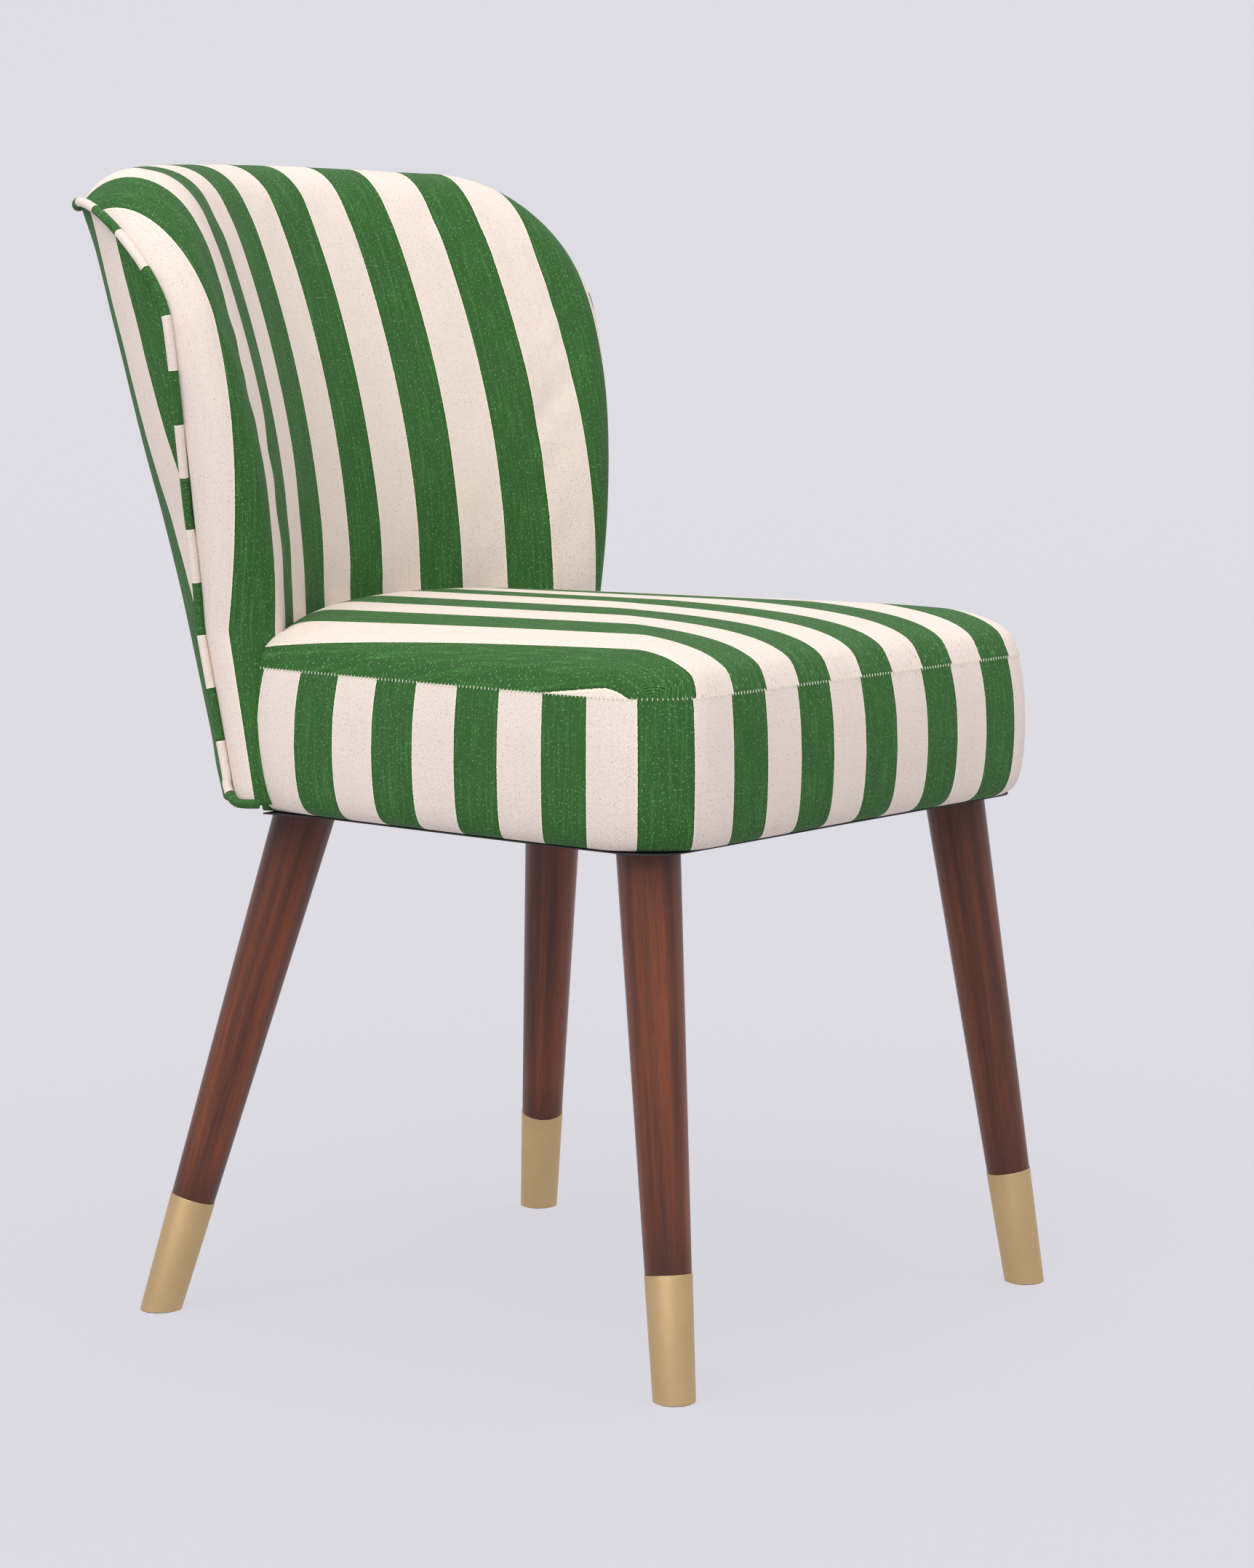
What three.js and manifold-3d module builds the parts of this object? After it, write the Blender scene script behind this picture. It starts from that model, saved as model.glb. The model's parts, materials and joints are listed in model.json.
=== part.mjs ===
// Upholstered dining chair: four splayed turned legs, a boxed seat and a rolled barrel back.
// Millimetres, +Z up, front of the chair towards -Y, sitter's right towards -X.
import * as THREE from 'three';
import { mergeVertices } from 'three/addons/utils/BufferGeometryUtils.js';
import Module from 'manifold-3d';

const wasm = await Module();
wasm.setup();

// ---------------------------------------------------------------- driving dimensions
const GAP = 0.35;                 // clearance kept between neighbouring pieces
const CLOTH = 1.4;                // thickness of the cover cloth

// Legs: a foot on the floor, and where the leg axis crosses a level just under the seat.
const LEG_CHECK_Z = 360;
const LEGS = [
  { name: 'front_right', foot: [-225, -230.4], top: [-193.1, -185.6] },
  { name: 'front_left', foot: [225, -230.4], top: [193.1, -185.6] },
  { name: 'rear_right', foot: [-227.5, 230.4], top: [-150.3, 154.9] },
  { name: 'rear_left', foot: [227.5, 230.4], top: [150.3, 154.9] },
];
const LEG_FOOT_RADIUS = 14.1;
const LEG_TOP_RADIUS = 21.7;      // at LEG_CHECK_Z
const LEG_TOP_Z = 371.6;          // level cut against the corner block
const FERRULE_LENGTH = 86;
const FERRULE_PROUD = 0.5;        // ferrule stands this much outside the wood
const FERRULE_WALL = 1.2;
const FERRULE_FLOOR_GAP = 0.8;    // brass ends this far above the floor
const GLIDE_HEIGHT = 3;
const BOLT_RADIUS = 4;            // M8 hanger bolt
const BOLT_IN_LEG = 45;
const BOLT_IN_BLOCK = 42;
const TNUT_FLANGE_RADIUS = 10;
const TNUT_BARREL_RADIUS = 5.4;

// Seat
const SEAT_BOTTOM = 369.5;
const SEAT_SEAM = 473;            // seam between the border strip and the top panel
const SEAT_CROWN = 503;
const SEAT_FRONT_Y = -238;
const SEAT_FRONT_HALF = 244;      // half width at the front
const SEAT_SIDE_END = [204, 149]; // where each side meets the back
const SEAT_CORNER = 34;           // front corner radius in plan
const SEAT_CENTRE = [0, -10];
const BORDER_FOAM = 11;           // wadding between border strip and rails
const RAIL_THICK = 22;
const RAIL_BOTTOM = 372;
const RAIL_TOP = 426;
const DECK_THICK = 12;
const CORNER_BLOCK = 66;

// Back: a curved inner face that rolls over its sides and top to a piped seam.
const BACK_BOTTOM = 371;
const LEVEL = 600;                // height at which the back's section is given
const WAIST = 500;                // below this the section stays the same
const INNER_Y = 232;              // inner face at the centre line
const INNER_LEAN = 0.172;
const INNER_SWEEP = 0.000705;
const INNER_TURN = [0.942, -0.353]; // turn of the face, in radians, at 200 mm off centre
const ROLL_START = 208.3;         // girth from the centre to the start of the side roll
const ROLL_START_RISE = 0.159;
const SIDE_ROLL = 27.7;           // radius of the rolled side edge
const TOP_ROLL = 50;              // radius of the rolled top edge
const SIDE_GIRTH = 77.3;          // cloth round the side roll, from its start to the piping
const SIDE_GIRTH_RISE = -0.203;
const SIDE_GIRTH_MOST = 80;
const TOP_GIRTH = 117;            // cloth over the top roll
const SHOULDER = 90;              // corner radius of the roll's start line
const SHOULDER_TUCK = 12;         // how much nearer the piping runs midway round the shoulder
const TOP_LINE = 806;             // height at which the top roll starts
const TOP_ARCH = 8;               // how far the top drops at 200 mm off centre
const OUTER_Y = 320;              // outer face at the centre line
const OUTER_LEAN = 0.286;
const OUTER_TURN = [0.454, 0.267];  // turn of the outer face, in radians, at 200 mm off centre
const PIPING_RADIUS = 3.4;
const PIPING_PROUD = 3;            // how far its centre stands off the seam
const BACK_BOARD = 10;            // moulded plywood back board
const POST = { centre: 92, width: 36, depth: 20, low: 376, top: 720 };
const INSERT_LENGTH = 13;
const INSERT_RADIUS = 6;
const BACK_BOLT_Z = [396, 416];

// ---------------------------------------------------------------- finishes
const finish = (color, roughness, metalness = 0) =>
  new THREE.MeshStandardMaterial({ color, roughness, metalness });
const FINISH = {
  walnut: finish(0x6b3a25, 0.42),
  brass: finish(0xb8985f, 0.38, 0.9),
  nylon: finish(0x2b2a28, 0.6),
  steel: finish(0x9a9c9e, 0.35, 0.9),
  hardwood: finish(0xc9a678, 0.7),
  plywood: finish(0xd2b48a, 0.7),
  foam: finish(0xe9dfb8, 0.95),
  stripe: finish(0x9fb389, 0.9),
  lining: finish(0x2a2a2c, 0.95),
};

const chair = new THREE.Group();
const addPiece = (name, geometry, material) => {
  const mesh = new THREE.Mesh(geometry, material);
  mesh.name = name;
  chair.add(mesh);
  return mesh;
};

// ---------------------------------------------------------------- solids and vectors
const toSolid = (geometry) => {
  const plain = new THREE.BufferGeometry();
  plain.setAttribute('position', geometry.getAttribute('position').clone());
  plain.setIndex(geometry.getIndex());
  const merged = mergeVertices(plain, 1e-4);
  return new wasm.Manifold(new wasm.Mesh({
    numProp: 3,
    vertProperties: new Float32Array(merged.getAttribute('position').array),
    triVerts: new Uint32Array(merged.getIndex().array),
  }));
};

const toGeometry = (solid) => {
  const mesh = solid.getMesh();
  const geometry = new THREE.BufferGeometry();
  geometry.setAttribute('position', new THREE.BufferAttribute(mesh.vertProperties, 3));
  geometry.setIndex(new THREE.BufferAttribute(mesh.triVerts, 1));
  geometry.computeVertexNormals();
  return geometry;
};

const boxBetween = (low, high) => {
  const size = high.map((value, axis) => value - low[axis]);
  const geometry = new THREE.BoxGeometry(...size);
  geometry.translate(...high.map((value, axis) => (value + low[axis]) / 2));
  return toSolid(geometry);
};

const slab = (zLow, zHigh) => boxBetween([-400, -400, zLow], [400, 500, zHigh]);

const add = (a, b, scale = 1) => a.map((value, axis) => value + scale * b[axis]);
const subtract = (a, b) => add(a, b, -1);
const cross = (a, b) => [
  a[1] * b[2] - a[2] * b[1], a[2] * b[0] - a[0] * b[2], a[0] * b[1] - a[1] * b[0]];
const unit = (a) => {
  const length = Math.hypot(...a);
  return a.map((value) => value / length);
};
const mix = (a, b, t) => a + (b - a) * t;
const smooth = (t) => t * t * (3 - 2 * t);

// A closed body from a stack of rings with the same number of points. A pole closes the
// first ring and another the last; without one the ring's own middle is used. From the
// turning ring on, the rings come back, and each facet is split along its other diagonal,
// so that the two faces of a sheet are split alike.
const middleOf = (ring) => ring.reduce((sum, p) => add(sum, p, 1 / ring.length), [0, 0, 0]);
const ringSolid = (rings, firstPole = middleOf(rings[0]), lastPole = middleOf(rings.at(-1)),
  turning = rings.length) => {
  const count = rings[0].length;
  const points = [...rings.flat(), firstPole, lastPole];
  const start = points.length - 2;
  const end = points.length - 1;
  const index = [];
  for (let k = 0; k < rings.length - 1; k += 1) {
    for (let i = 0; i < count; i += 1) {
      const a = k * count + i;
      const b = k * count + (i + 1) % count;
      if (k < turning) index.push(a, b, b + count, a, b + count, a + count);
      else index.push(a, b, a + count, b, b + count, a + count);
    }
  }
  const last = (rings.length - 1) * count;
  for (let i = 0; i < count; i += 1) {
    const j = (i + 1) % count;
    index.push(start, j, i, end, last + i, last + j);
  }
  const geometry = new THREE.BufferGeometry();
  geometry.setAttribute('position', new THREE.Float32BufferAttribute(points.flat(), 3));
  geometry.setIndex(index);
  return toSolid(geometry);
};

// ---------------------------------------------------------------- legs
const legFrame = (leg) => {
  const base = [...leg.foot, 0];
  const axis = unit(subtract([...leg.top, LEG_CHECK_Z], base));
  const turn = new THREE.Quaternion().setFromUnitVectors(
    new THREE.Vector3(0, 0, 1), new THREE.Vector3(...axis));
  const matrix = new THREE.Matrix4().compose(
    new THREE.Vector3(...base), turn, new THREE.Vector3(1, 1, 1));
  return { axis, matrix };
};

// A round body about the leg axis from [radius, height] pairs.
const turned = (profile, frame, facets = 24) => {
  const geometry = new THREE.LatheGeometry(
    profile.map(([radius, height]) => new THREE.Vector2(radius, height)), facets);
  geometry.rotateX(Math.PI / 2);
  geometry.applyMatrix4(frame.matrix);
  return toSolid(geometry);
};

const plug = (radius, low, high, frame) =>
  turned([[0, low], [radius, low], [radius, high], [0, high]], frame, 12);

const legRadius = (height) =>
  mix(LEG_FOOT_RADIUS, LEG_TOP_RADIUS, height / LEG_CHECK_Z);

const buildLeg = (leg) => {
  const frame = legFrame(leg);
  const along = 1 / frame.axis[2];          // axis length for each millimetre of height
  const topHeight = LEG_TOP_Z * along;
  const tenon = (height) => legRadius(height) + FERRULE_PROUD - FERRULE_WALL - GAP;

  const wood = turned([
    [0, -12], [tenon(-12), -12], [tenon(FERRULE_LENGTH), FERRULE_LENGTH + GAP],
    [legRadius(FERRULE_LENGTH), FERRULE_LENGTH + GAP],
    [legRadius(topHeight + 20), topHeight + 20], [0, topHeight + 20],
  ], frame);
  const bolt = plug(BOLT_RADIUS, topHeight - BOLT_IN_LEG, topHeight + BOLT_IN_BLOCK, frame);
  const boltHole = plug(BOLT_RADIUS + GAP, topHeight - BOLT_IN_LEG - 2,
    topHeight + BOLT_IN_BLOCK + 30, frame);
  const woodCut = wood.intersect(slab(GLIDE_HEIGHT + GAP, LEG_TOP_Z)).subtract(boltHole);
  addPiece(`leg_${leg.name}`, toGeometry(woodCut), FINISH.walnut);

  const outside = (height) => legRadius(height) + FERRULE_PROUD;
  const lip = 0.6;
  const ferrule = turned([
    [outside(-12) - FERRULE_WALL, -12], [outside(-12), -12],
    [outside(FERRULE_LENGTH - lip), FERRULE_LENGTH - lip],
    [outside(FERRULE_LENGTH) - lip, FERRULE_LENGTH],
    [outside(FERRULE_LENGTH) - FERRULE_WALL, FERRULE_LENGTH],
    [outside(-12) - FERRULE_WALL, -12],
  ], frame).intersect(slab(FERRULE_FLOOR_GAP, 200));
  addPiece(`ferrule_${leg.name}`, toGeometry(ferrule), FINISH.brass);

  const glide = plug(tenon(0), -12, 30, frame).intersect(slab(0, GLIDE_HEIGHT));
  addPiece(`glide_${leg.name}`, toGeometry(glide), FINISH.nylon);
  addPiece(`hanger_bolt_${leg.name}`, toGeometry(bolt), FINISH.steel);

  const flangeLow = topHeight + BOLT_IN_BLOCK - 3;
  const nutProfile = [
    [BOLT_RADIUS + GAP, flangeLow - 12], [TNUT_BARREL_RADIUS, flangeLow - 12],
    [TNUT_BARREL_RADIUS, flangeLow], [TNUT_FLANGE_RADIUS, flangeLow],
    [TNUT_FLANGE_RADIUS, flangeLow + 2], [BOLT_RADIUS + GAP, flangeLow + 2],
    [BOLT_RADIUS + GAP, flangeLow - 12],
  ];
  addPiece(`t_nut_${leg.name}`, toGeometry(turned(nutProfile, frame, 12)), FINISH.steel);
  const nutPocket = plug(TNUT_BARREL_RADIUS + GAP, flangeLow - 12 - GAP, flangeLow + 1, frame)
    .add(plug(TNUT_FLANGE_RADIUS + GAP, flangeLow - GAP, flangeLow + 60, frame));
  const body = turned([[0, 0], [legRadius(0) + GAP, 0],
    [legRadius(topHeight + 20) + GAP, topHeight + 20], [0, topHeight + 20]], frame);
  return { leg, bore: boltHole.add(nutPocket), body };
};

const legParts = LEGS.map(buildLeg);

// ---------------------------------------------------------------- back surfaces
// Every section of the back is a curve whose direction turns with the girth from the
// centre line. The curve's points are summed once for a section and looked up.
const GIRTH_STEP = 2;
const section = (turnAt, length) => {
  const points = [[0, 0]];
  for (let girth = 0; girth < length; girth += GIRTH_STEP) {
    const angle = turnAt(girth + GIRTH_STEP / 2);
    points.push(add(points[points.length - 1], [Math.cos(angle), Math.sin(angle)], GIRTH_STEP));
  }
  return points;
};
const lookUp = (points, girth) => {
  const place = Math.min(Math.abs(girth) / GIRTH_STEP, points.length - 1.001);
  const k = Math.floor(place);
  const [x, y] = points[k].map((value, axis) => mix(value, points[k + 1][axis], place - k));
  return [Math.sign(girth) * x, y];
};
const innerSection = section((s) => -(INNER_TURN[0] * (s / 200) + INNER_TURN[1] * (s / 200) ** 3), 320);
const outerSection = section((s) => -(OUTER_TURN[0] * (s / 200) + OUTER_TURN[1] * (s / 200) ** 3), 330);

const arched = (x, y, z) =>
  [x, y, z - TOP_ARCH * (x / 200) ** 2 * smooth(Math.min(Math.max((z - LEVEL) / 200, 0), 1))];
const innerPoint = (girth, height) => {
  const rise = Math.max(height, WAIST) - LEVEL;
  const [x, y] = lookUp(innerSection, girth);
  return arched(x, y + INNER_Y + INNER_LEAN * rise + INNER_SWEEP * rise * rise, height);
};
const outerPoint = (girth, height) => {
  const [x, y] = lookUp(outerSection, girth);
  return arched(x, y + OUTER_Y + OUTER_LEAN * (height - LEVEL), height);
};

const shoulderHeight = TOP_LINE - SHOULDER;
const rollStart = (height) => ROLL_START + ROLL_START_RISE * (Math.max(height, WAIST) - LEVEL);
const sideGirth = (height) =>
  Math.min(SIDE_GIRTH + SIDE_GIRTH_RISE * (height - LEVEL), SIDE_GIRTH_MOST);
const shoulderGirth = rollStart(shoulderHeight) - SHOULDER;

// Where a flat point of the cover lies against the roll's start line: the nearest point
// of the line, the way out of it, how far out, and how far round the shoulder (0 to 1).
const rollAt = (girth, height) => {
  const side = Math.sign(girth) || 1;
  const s = Math.abs(girth);
  if (height <= shoulderHeight) {
    const start = rollStart(height);
    return { foot: [side * start, height], out: [side, 0], far: s - start, round: 0 };
  }
  if (s <= shoulderGirth) {
    return { foot: [girth, TOP_LINE], out: [0, 1], far: height - TOP_LINE, round: 1 };
  }
  const out = [s - shoulderGirth, height - shoulderHeight];
  const reach = Math.hypot(...out);
  const [outS, outH] = [out[0] / reach, out[1] / reach];
  return {
    foot: [side * (shoulderGirth + SHOULDER * outS), shoulderHeight + SHOULDER * outH],
    out: [side * outS, outH], far: reach - SHOULDER, round: Math.atan2(outH, outS) / (Math.PI / 2),
  };
};

const coverPoint = (girth, height) => {
  const { foot, out, far, round } = rollAt(girth, height);
  if (far <= 0) return innerPoint(girth, height);
  const start = innerPoint(...foot);
  const acrossDirection = unit(subtract(innerPoint(foot[0] + 1, foot[1]), start));
  const upDirection = unit(subtract(innerPoint(foot[0], foot[1] + 1), start));
  const ahead = unit(add(acrossDirection.map((value) => value * out[0]), upDirection, out[1]));
  const inward = unit(cross(upDirection, acrossDirection));
  const radius = mix(SIDE_ROLL, TOP_ROLL, smooth(round));
  const angle = far / radius;
  const tuck = far > 0 && height < WAIST ? 0.228 * (WAIST - height) * Math.min(far / 60, 1) : 0;
  const point = add(add(start, ahead, radius * Math.sin(angle)), inward, radius * (1 - Math.cos(angle)));
  return add(point, [0, -1, 0], tuck);
};

// The piped seam on the flat cover: up one side, over the shoulders and the top, down
// the other side, then along the bottom. Evenly spaced stretches.
const coverOutline = () => {
  const right = [];
  for (let k = 0; k <= 7; k += 1) {
    const height = mix(BACK_BOTTOM, shoulderHeight, k / 7);
    right.push([rollStart(height) + sideGirth(height), height]);
  }
  const shoulderGirthEnd = sideGirth(shoulderHeight);
  for (let k = 1; k <= 6; k += 1) {
    const round = k / 6;
    const reach = SHOULDER + mix(shoulderGirthEnd, TOP_GIRTH, smooth(round))
      - SHOULDER_TUCK * Math.sin(Math.PI * round);
    const angle = round * Math.PI / 2;
    right.push([shoulderGirth + reach * Math.cos(angle), shoulderHeight + reach * Math.sin(angle)]);
  }
  const top = [];
  for (let k = 1; k < 6; k += 1) top.push([mix(shoulderGirth, -shoulderGirth, k / 6), TOP_LINE + TOP_GIRTH]);
  const left = right.map(([s, h]) => [-s, h]).reverse();
  const bottom = [];
  for (let k = 1; k < 8; k += 1) bottom.push([mix(left.at(-1)[0], right[0][0], k / 8), BACK_BOTTOM]);
  return { outline: [...right, ...top, ...left, ...bottom], seamCount: right.length * 2 + top.length };
};
const { outline: coverFlat, seamCount } = coverOutline();
const FLAT_CENTRE = [0, LEVEL];

// Nearest girth on the outer section to a point of the seam.
const outerGirthOf = (point) => {
  let best = [Infinity, 0];
  for (let s = 0; s <= 320; s += 1) {
    const there = outerPoint(Math.sign(point[0]) * s, point[2]);
    const distance = Math.hypot(there[0] - point[0], there[1] - point[1]);
    if (distance < best[0]) best = [distance, Math.sign(point[0]) * s];
  }
  return best[1];
};
const seamPoints = coverFlat.slice(0, seamCount).map(([s, h]) => coverPoint(s, h));
const outerBottomGirth = outerGirthOf(seamPoints[0]);
const outerFlat = coverFlat.map(([s], k) => (k < seamCount
  ? [outerGirthOf(seamPoints[k]), seamPoints[k][2]]
  : [outerBottomGirth * s / coverFlat[0][0], BACK_BOTTOM]));
const seamShift = coverFlat.map((flat, k) => (k < seamCount
  ? subtract(seamPoints[k], outerPoint(...outerFlat[k])) : [0, 0, 0]));

const towards = (flat, r) => FLAT_CENTRE.map((value, axis) => mix(value, flat[axis], r));
const frontPoint = (k, r) => coverPoint(...towards(coverFlat[k], r));
const rearPoint = (k, r) => add(outerPoint(...towards(outerFlat[k], r)), seamShift[k], r ** 4);

// Outward normals by small steps along the flat cover and the flat outer panel.
const STEP = 0.5;
const normalOf = (pointAt, flat, flip) => {
  const across = subtract(pointAt(flat[0] + STEP, flat[1]), pointAt(flat[0] - STEP, flat[1]));
  const up = subtract(pointAt(flat[0], flat[1] + STEP), pointAt(flat[0], flat[1] - STEP));
  return unit(flip ? cross(up, across) : cross(across, up));
};
const frontInset = (k, r, depth) =>
  add(frontPoint(k, r), normalOf(coverPoint, towards(coverFlat[k], r), false), -depth);
const rearInset = (k, r, depth) =>
  add(rearPoint(k, r), normalOf(outerPoint, towards(outerFlat[k], r), true), -depth);

// A body whose rear face runs out from the middle to the rim, and whose front face runs
// back in. Each face is a point function of the ring fraction and a depth below it.
// All the layers share the same rings, so that they lie parallel, facet by facet.
const FRONT_RINGS = [0.34, 0.58, 0.72, 0.78, 0.84, 0.89, 0.94, 0.97, 0.985];
const REAR_RINGS = [0.3, 0.55, 0.75, 0.88, 0.945, 0.955, 0.965, 0.978];
const upTo = (rings, edge) => rings.filter((r) => r <= edge);
const face = (insetAt, fractions, depthAt) => ({
  pole: insetAt(0, 0, depthAt(0)),
  rings: fractions.map((r) => coverFlat.map((flat, k) => insetAt(k, r, depthAt(r)))),
});
const bodyBetween = (rear, front) =>
  ringSolid([...rear.rings, ...front.rings.slice().reverse()], rear.pole, front.pole, rear.rings.length);
const layer = (insetAt, rings, shallow, deep) => {
  const outer = face(insetAt, rings, () => shallow);
  const inner = face(insetAt, rings, () => deep);
  return insetAt === frontInset ? bodyBetween(inner, outer) : bodyBetween(outer, inner);
};
const backEnvelope = (depth) => bodyBetween(
  face(rearInset, REAR_RINGS, () => depth), face(frontInset, FRONT_RINGS, () => depth));

// ---------------------------------------------------------------- seat surfaces
// Plan of the seat at its widest: straight front, rounded front corners, tapering
// sides, and a rear edge that follows the inner face of the back.
const seatPlan = () => {
  const half = [];
  const sideSlope = (SEAT_FRONT_HALF - SEAT_SIDE_END[0]) / (SEAT_SIDE_END[1] - SEAT_FRONT_Y);
  for (let k = 0; k <= 4; k += 1) {
    const x = (SEAT_FRONT_HALF - SEAT_CORNER) * k / 4;
    half.push([x, SEAT_FRONT_Y + 5 * (x / SEAT_FRONT_HALF) ** 2]);
  }
  const cornerY = half[4][1] + SEAT_CORNER;
  for (let k = 1; k <= 5; k += 1) {
    const angle = -Math.PI / 2 + k / 5 * Math.PI / 2;
    half.push([SEAT_FRONT_HALF - SEAT_CORNER + SEAT_CORNER * Math.cos(angle),
      cornerY + SEAT_CORNER * Math.sin(angle)]);
  }
  for (let k = 1; k <= 7; k += 1) {
    const y = mix(cornerY, SEAT_SIDE_END[1], k / 7);
    half.push([SEAT_FRONT_HALF - sideSlope * (y - cornerY) + 5 * Math.sin(Math.PI * k / 7), y]);
  }
  for (const girth of [186, 160, 130, 100, 65, 33, 0]) {
    const [x, y] = innerPoint(girth, WAIST);
    half.push([x, y - 2.5]);
  }
  const other = half.slice(1, -1).map(([x, y]) => [-x, y]).reverse();
  return [...half, ...other];
};
const plan = seatPlan();
const REAR_FROM = 145;            // behind this the seat's edge stays upright
const REAR_CROWN = 0.3;           // how much less the crown draws in along the back

const seatRing = (inset, z, rearInsetBy) => plan.map(([x, y]) => {
  const away = [x - SEAT_CENTRE[0], y - SEAT_CENTRE[1]];
  const reach = Math.hypot(...away);
  const pull = y > REAR_FROM ? rearInsetBy : inset;
  const scale = 1 - pull / reach;
  return [SEAT_CENTRE[0] + away[0] * scale, SEAT_CENTRE[1] + away[1] * scale, z];
});

// How far the cloth lies inside the widest plan at each height, up the border strip to
// the seam and then over the crown of the top panel.
const BORDER_PROFILE = [[369.5, 13], [374, 8], [384, 4], [400, 1], [420, 0], [445, 1], [462, 3.5], [473, 6]];
const CROWN_PROFILE = [[479, 9], [484, 16], [489, 29], [494, 50], [499, 90], [SEAT_CROWN - 1, 140]];
const borderInset = (z) => {
  const k = Math.max(1, BORDER_PROFILE.findIndex(([level]) => level >= z));
  const [[z0, inset0], [z1, inset1]] = [BORDER_PROFILE[k - 1], BORDER_PROFILE[k]];
  return mix(inset0, inset1, Math.max(0, (z - z0) / (z1 - z0)));
};

// The seat's envelope drawn in by a depth all over, with its underside at a given height.
const seatEnvelope = (depth, low) => {
  const levels = [low, ...BORDER_PROFILE.map(([z]) => z).filter((z) => z > low + 1)];
  const border = levels.map((z) => seatRing(borderInset(z) + depth, z, depth));
  const crown = CROWN_PROFILE.map(([z, inset]) =>
    seatRing(inset + depth, z - depth, (inset - BORDER_PROFILE.at(-1)[1]) * REAR_CROWN + depth));
  return ringSolid([...border, ...crown]);
};

// ---------------------------------------------------------------- seat pieces
const outerCloth = seatEnvelope(0, SEAT_BOTTOM);
const underCloth = seatEnvelope(CLOTH, SEAT_BOTTOM + CLOTH);
const insideCloth = seatEnvelope(CLOTH + GAP, SEAT_BOTTOM + CLOTH + GAP);
const waddingInside = seatEnvelope(BORDER_FOAM, SEAT_BOTTOM - 5);
const frameOutside = seatEnvelope(BORDER_FOAM + GAP, SEAT_BOTTOM - 5);
const frameInside = seatEnvelope(BORDER_FOAM + RAIL_THICK, SEAT_BOTTOM - 5);
const rearEdge = boxBetween([-300, REAR_FROM + 3, 300], [300, 400, 600]);
const hemWindow = boxBetween([-185, -175, 360], [185, 400, 380]);
const clothShell = outerCloth.subtract(underCloth);
const backRoom = backEnvelope(-1.5);
const deckLow = RAIL_TOP + GAP;
const deckHigh = deckLow + DECK_THICK;
const legBodies = legParts.map(({ body }) => body).reduce((all, body) => all.add(body));

addPiece('seat_top_panel', toGeometry(clothShell.intersect(slab(SEAT_SEAM + GAP, 600))
  .subtract(backRoom)), FINISH.stripe);
addPiece('seat_border', toGeometry(clothShell.intersect(slab(360, SEAT_SEAM))
  .subtract(rearEdge).subtract(hemWindow).subtract(legBodies).subtract(backRoom)), FINISH.stripe);
addPiece('seat_foam', toGeometry(insideCloth.intersect(slab(deckHigh + GAP, 600))
  .subtract(backRoom)), FINISH.foam);
addPiece('seat_border_wadding', toGeometry(insideCloth.subtract(waddingInside)
  .intersect(slab(RAIL_BOTTOM, deckHigh)).subtract(rearEdge.translate([0, -6, 0])).subtract(backRoom)),
  FINISH.foam);
addPiece('seat_deck', toGeometry(frameOutside.intersect(slab(deckLow, deckHigh))), FINISH.plywood);
addPiece('seat_lining', toGeometry(seatEnvelope(4, SEAT_BOTTOM - 5)
  .intersect(slab(SEAT_BOTTOM - GAP - 0.9, SEAT_BOTTOM - GAP)).subtract(legBodies)), FINISH.lining);

// Back bolts run front to rear through the rear rail, the back's cover and foam, and
// into threaded inserts in the posts.
const RAIL_INNER_Y = 158;         // a plane in front of the rear rail at the bolts
const rodAlongY = (x, z, radius, yLow, yHigh, facets = 14) => {
  const rod = new THREE.CylinderGeometry(radius, radius, yHigh - yLow, facets);
  rod.translate(x, (yLow + yHigh) / 2, z);
  return toSolid(rod);
};
const BOLTS = [-1, 1].flatMap((side) => BACK_BOLT_Z.map((z, level) => ({
  name: `${side < 0 ? 'right' : 'left'}_${level ? 'upper' : 'lower'}`,
  x: side * POST.centre,
  z,
  end: outerPoint(POST.centre, z)[1] - CLOTH - BACK_BOARD - 8,
})));
const together = (solids) => solids.reduce((all, solid) => all.add(solid));
const bores = together(BOLTS.map(({ x, z, end }) =>
  rodAlongY(x, z, BOLT_RADIUS + GAP, RAIL_INNER_Y, end + 2)));
const insertBores = together(BOLTS.map(({ x, z, end }) =>
  rodAlongY(x, z, INSERT_RADIUS + GAP, end - INSERT_LENGTH - GAP, end + 2)))
  .add(bores);

const frontCorner = boxBetween([SEAT_FRONT_HALF - 31 - CORNER_BLOCK, -300, 300], [300, -203 + CORNER_BLOCK, 500]);
const rearCorner = boxBetween([104, 92, 300], [300, 400, 500]);
const mirrored = (solid) => solid.mirror([1, 0, 0]);
const inRails = frameOutside.intersect(slab(RAIL_BOTTOM, RAIL_TOP)).subtract(backRoom);
legParts.forEach(({ leg, bore }) => {
  const corner = leg.name.startsWith('front') ? frontCorner : rearCorner;
  const place = leg.name.endsWith('left') ? corner : mirrored(corner);
  addPiece(`corner_block_${leg.name}`, toGeometry(inRails.intersect(place).subtract(bore)), FINISH.hardwood);
});
const grown = (low, high) => boxBetween(low.map((v) => v - GAP), high.map((v) => v + GAP));
const cornersGrown = [grown([SEAT_FRONT_HALF - 31 - CORNER_BLOCK, -300, 300], [300, -203 + CORNER_BLOCK, 500]),
  grown([104, 92, 300], [300, 400, 500])].map((corner) => corner.add(mirrored(corner)));
const railLoop = inRails.subtract(frameInside).subtract(cornersGrown[0]).subtract(cornersGrown[1]);
const railZones = {
  seat_rail_front: [[-300, -300, 300], [300, -150, 500]],
  seat_rail_rear: [[-103, 120, 300], [103, 300, 500]],
  seat_rail_right: [[-300, -150, 300], [-110, 100, 500]],
  seat_rail_left: [[110, -150, 300], [300, 100, 500]],
};
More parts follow.
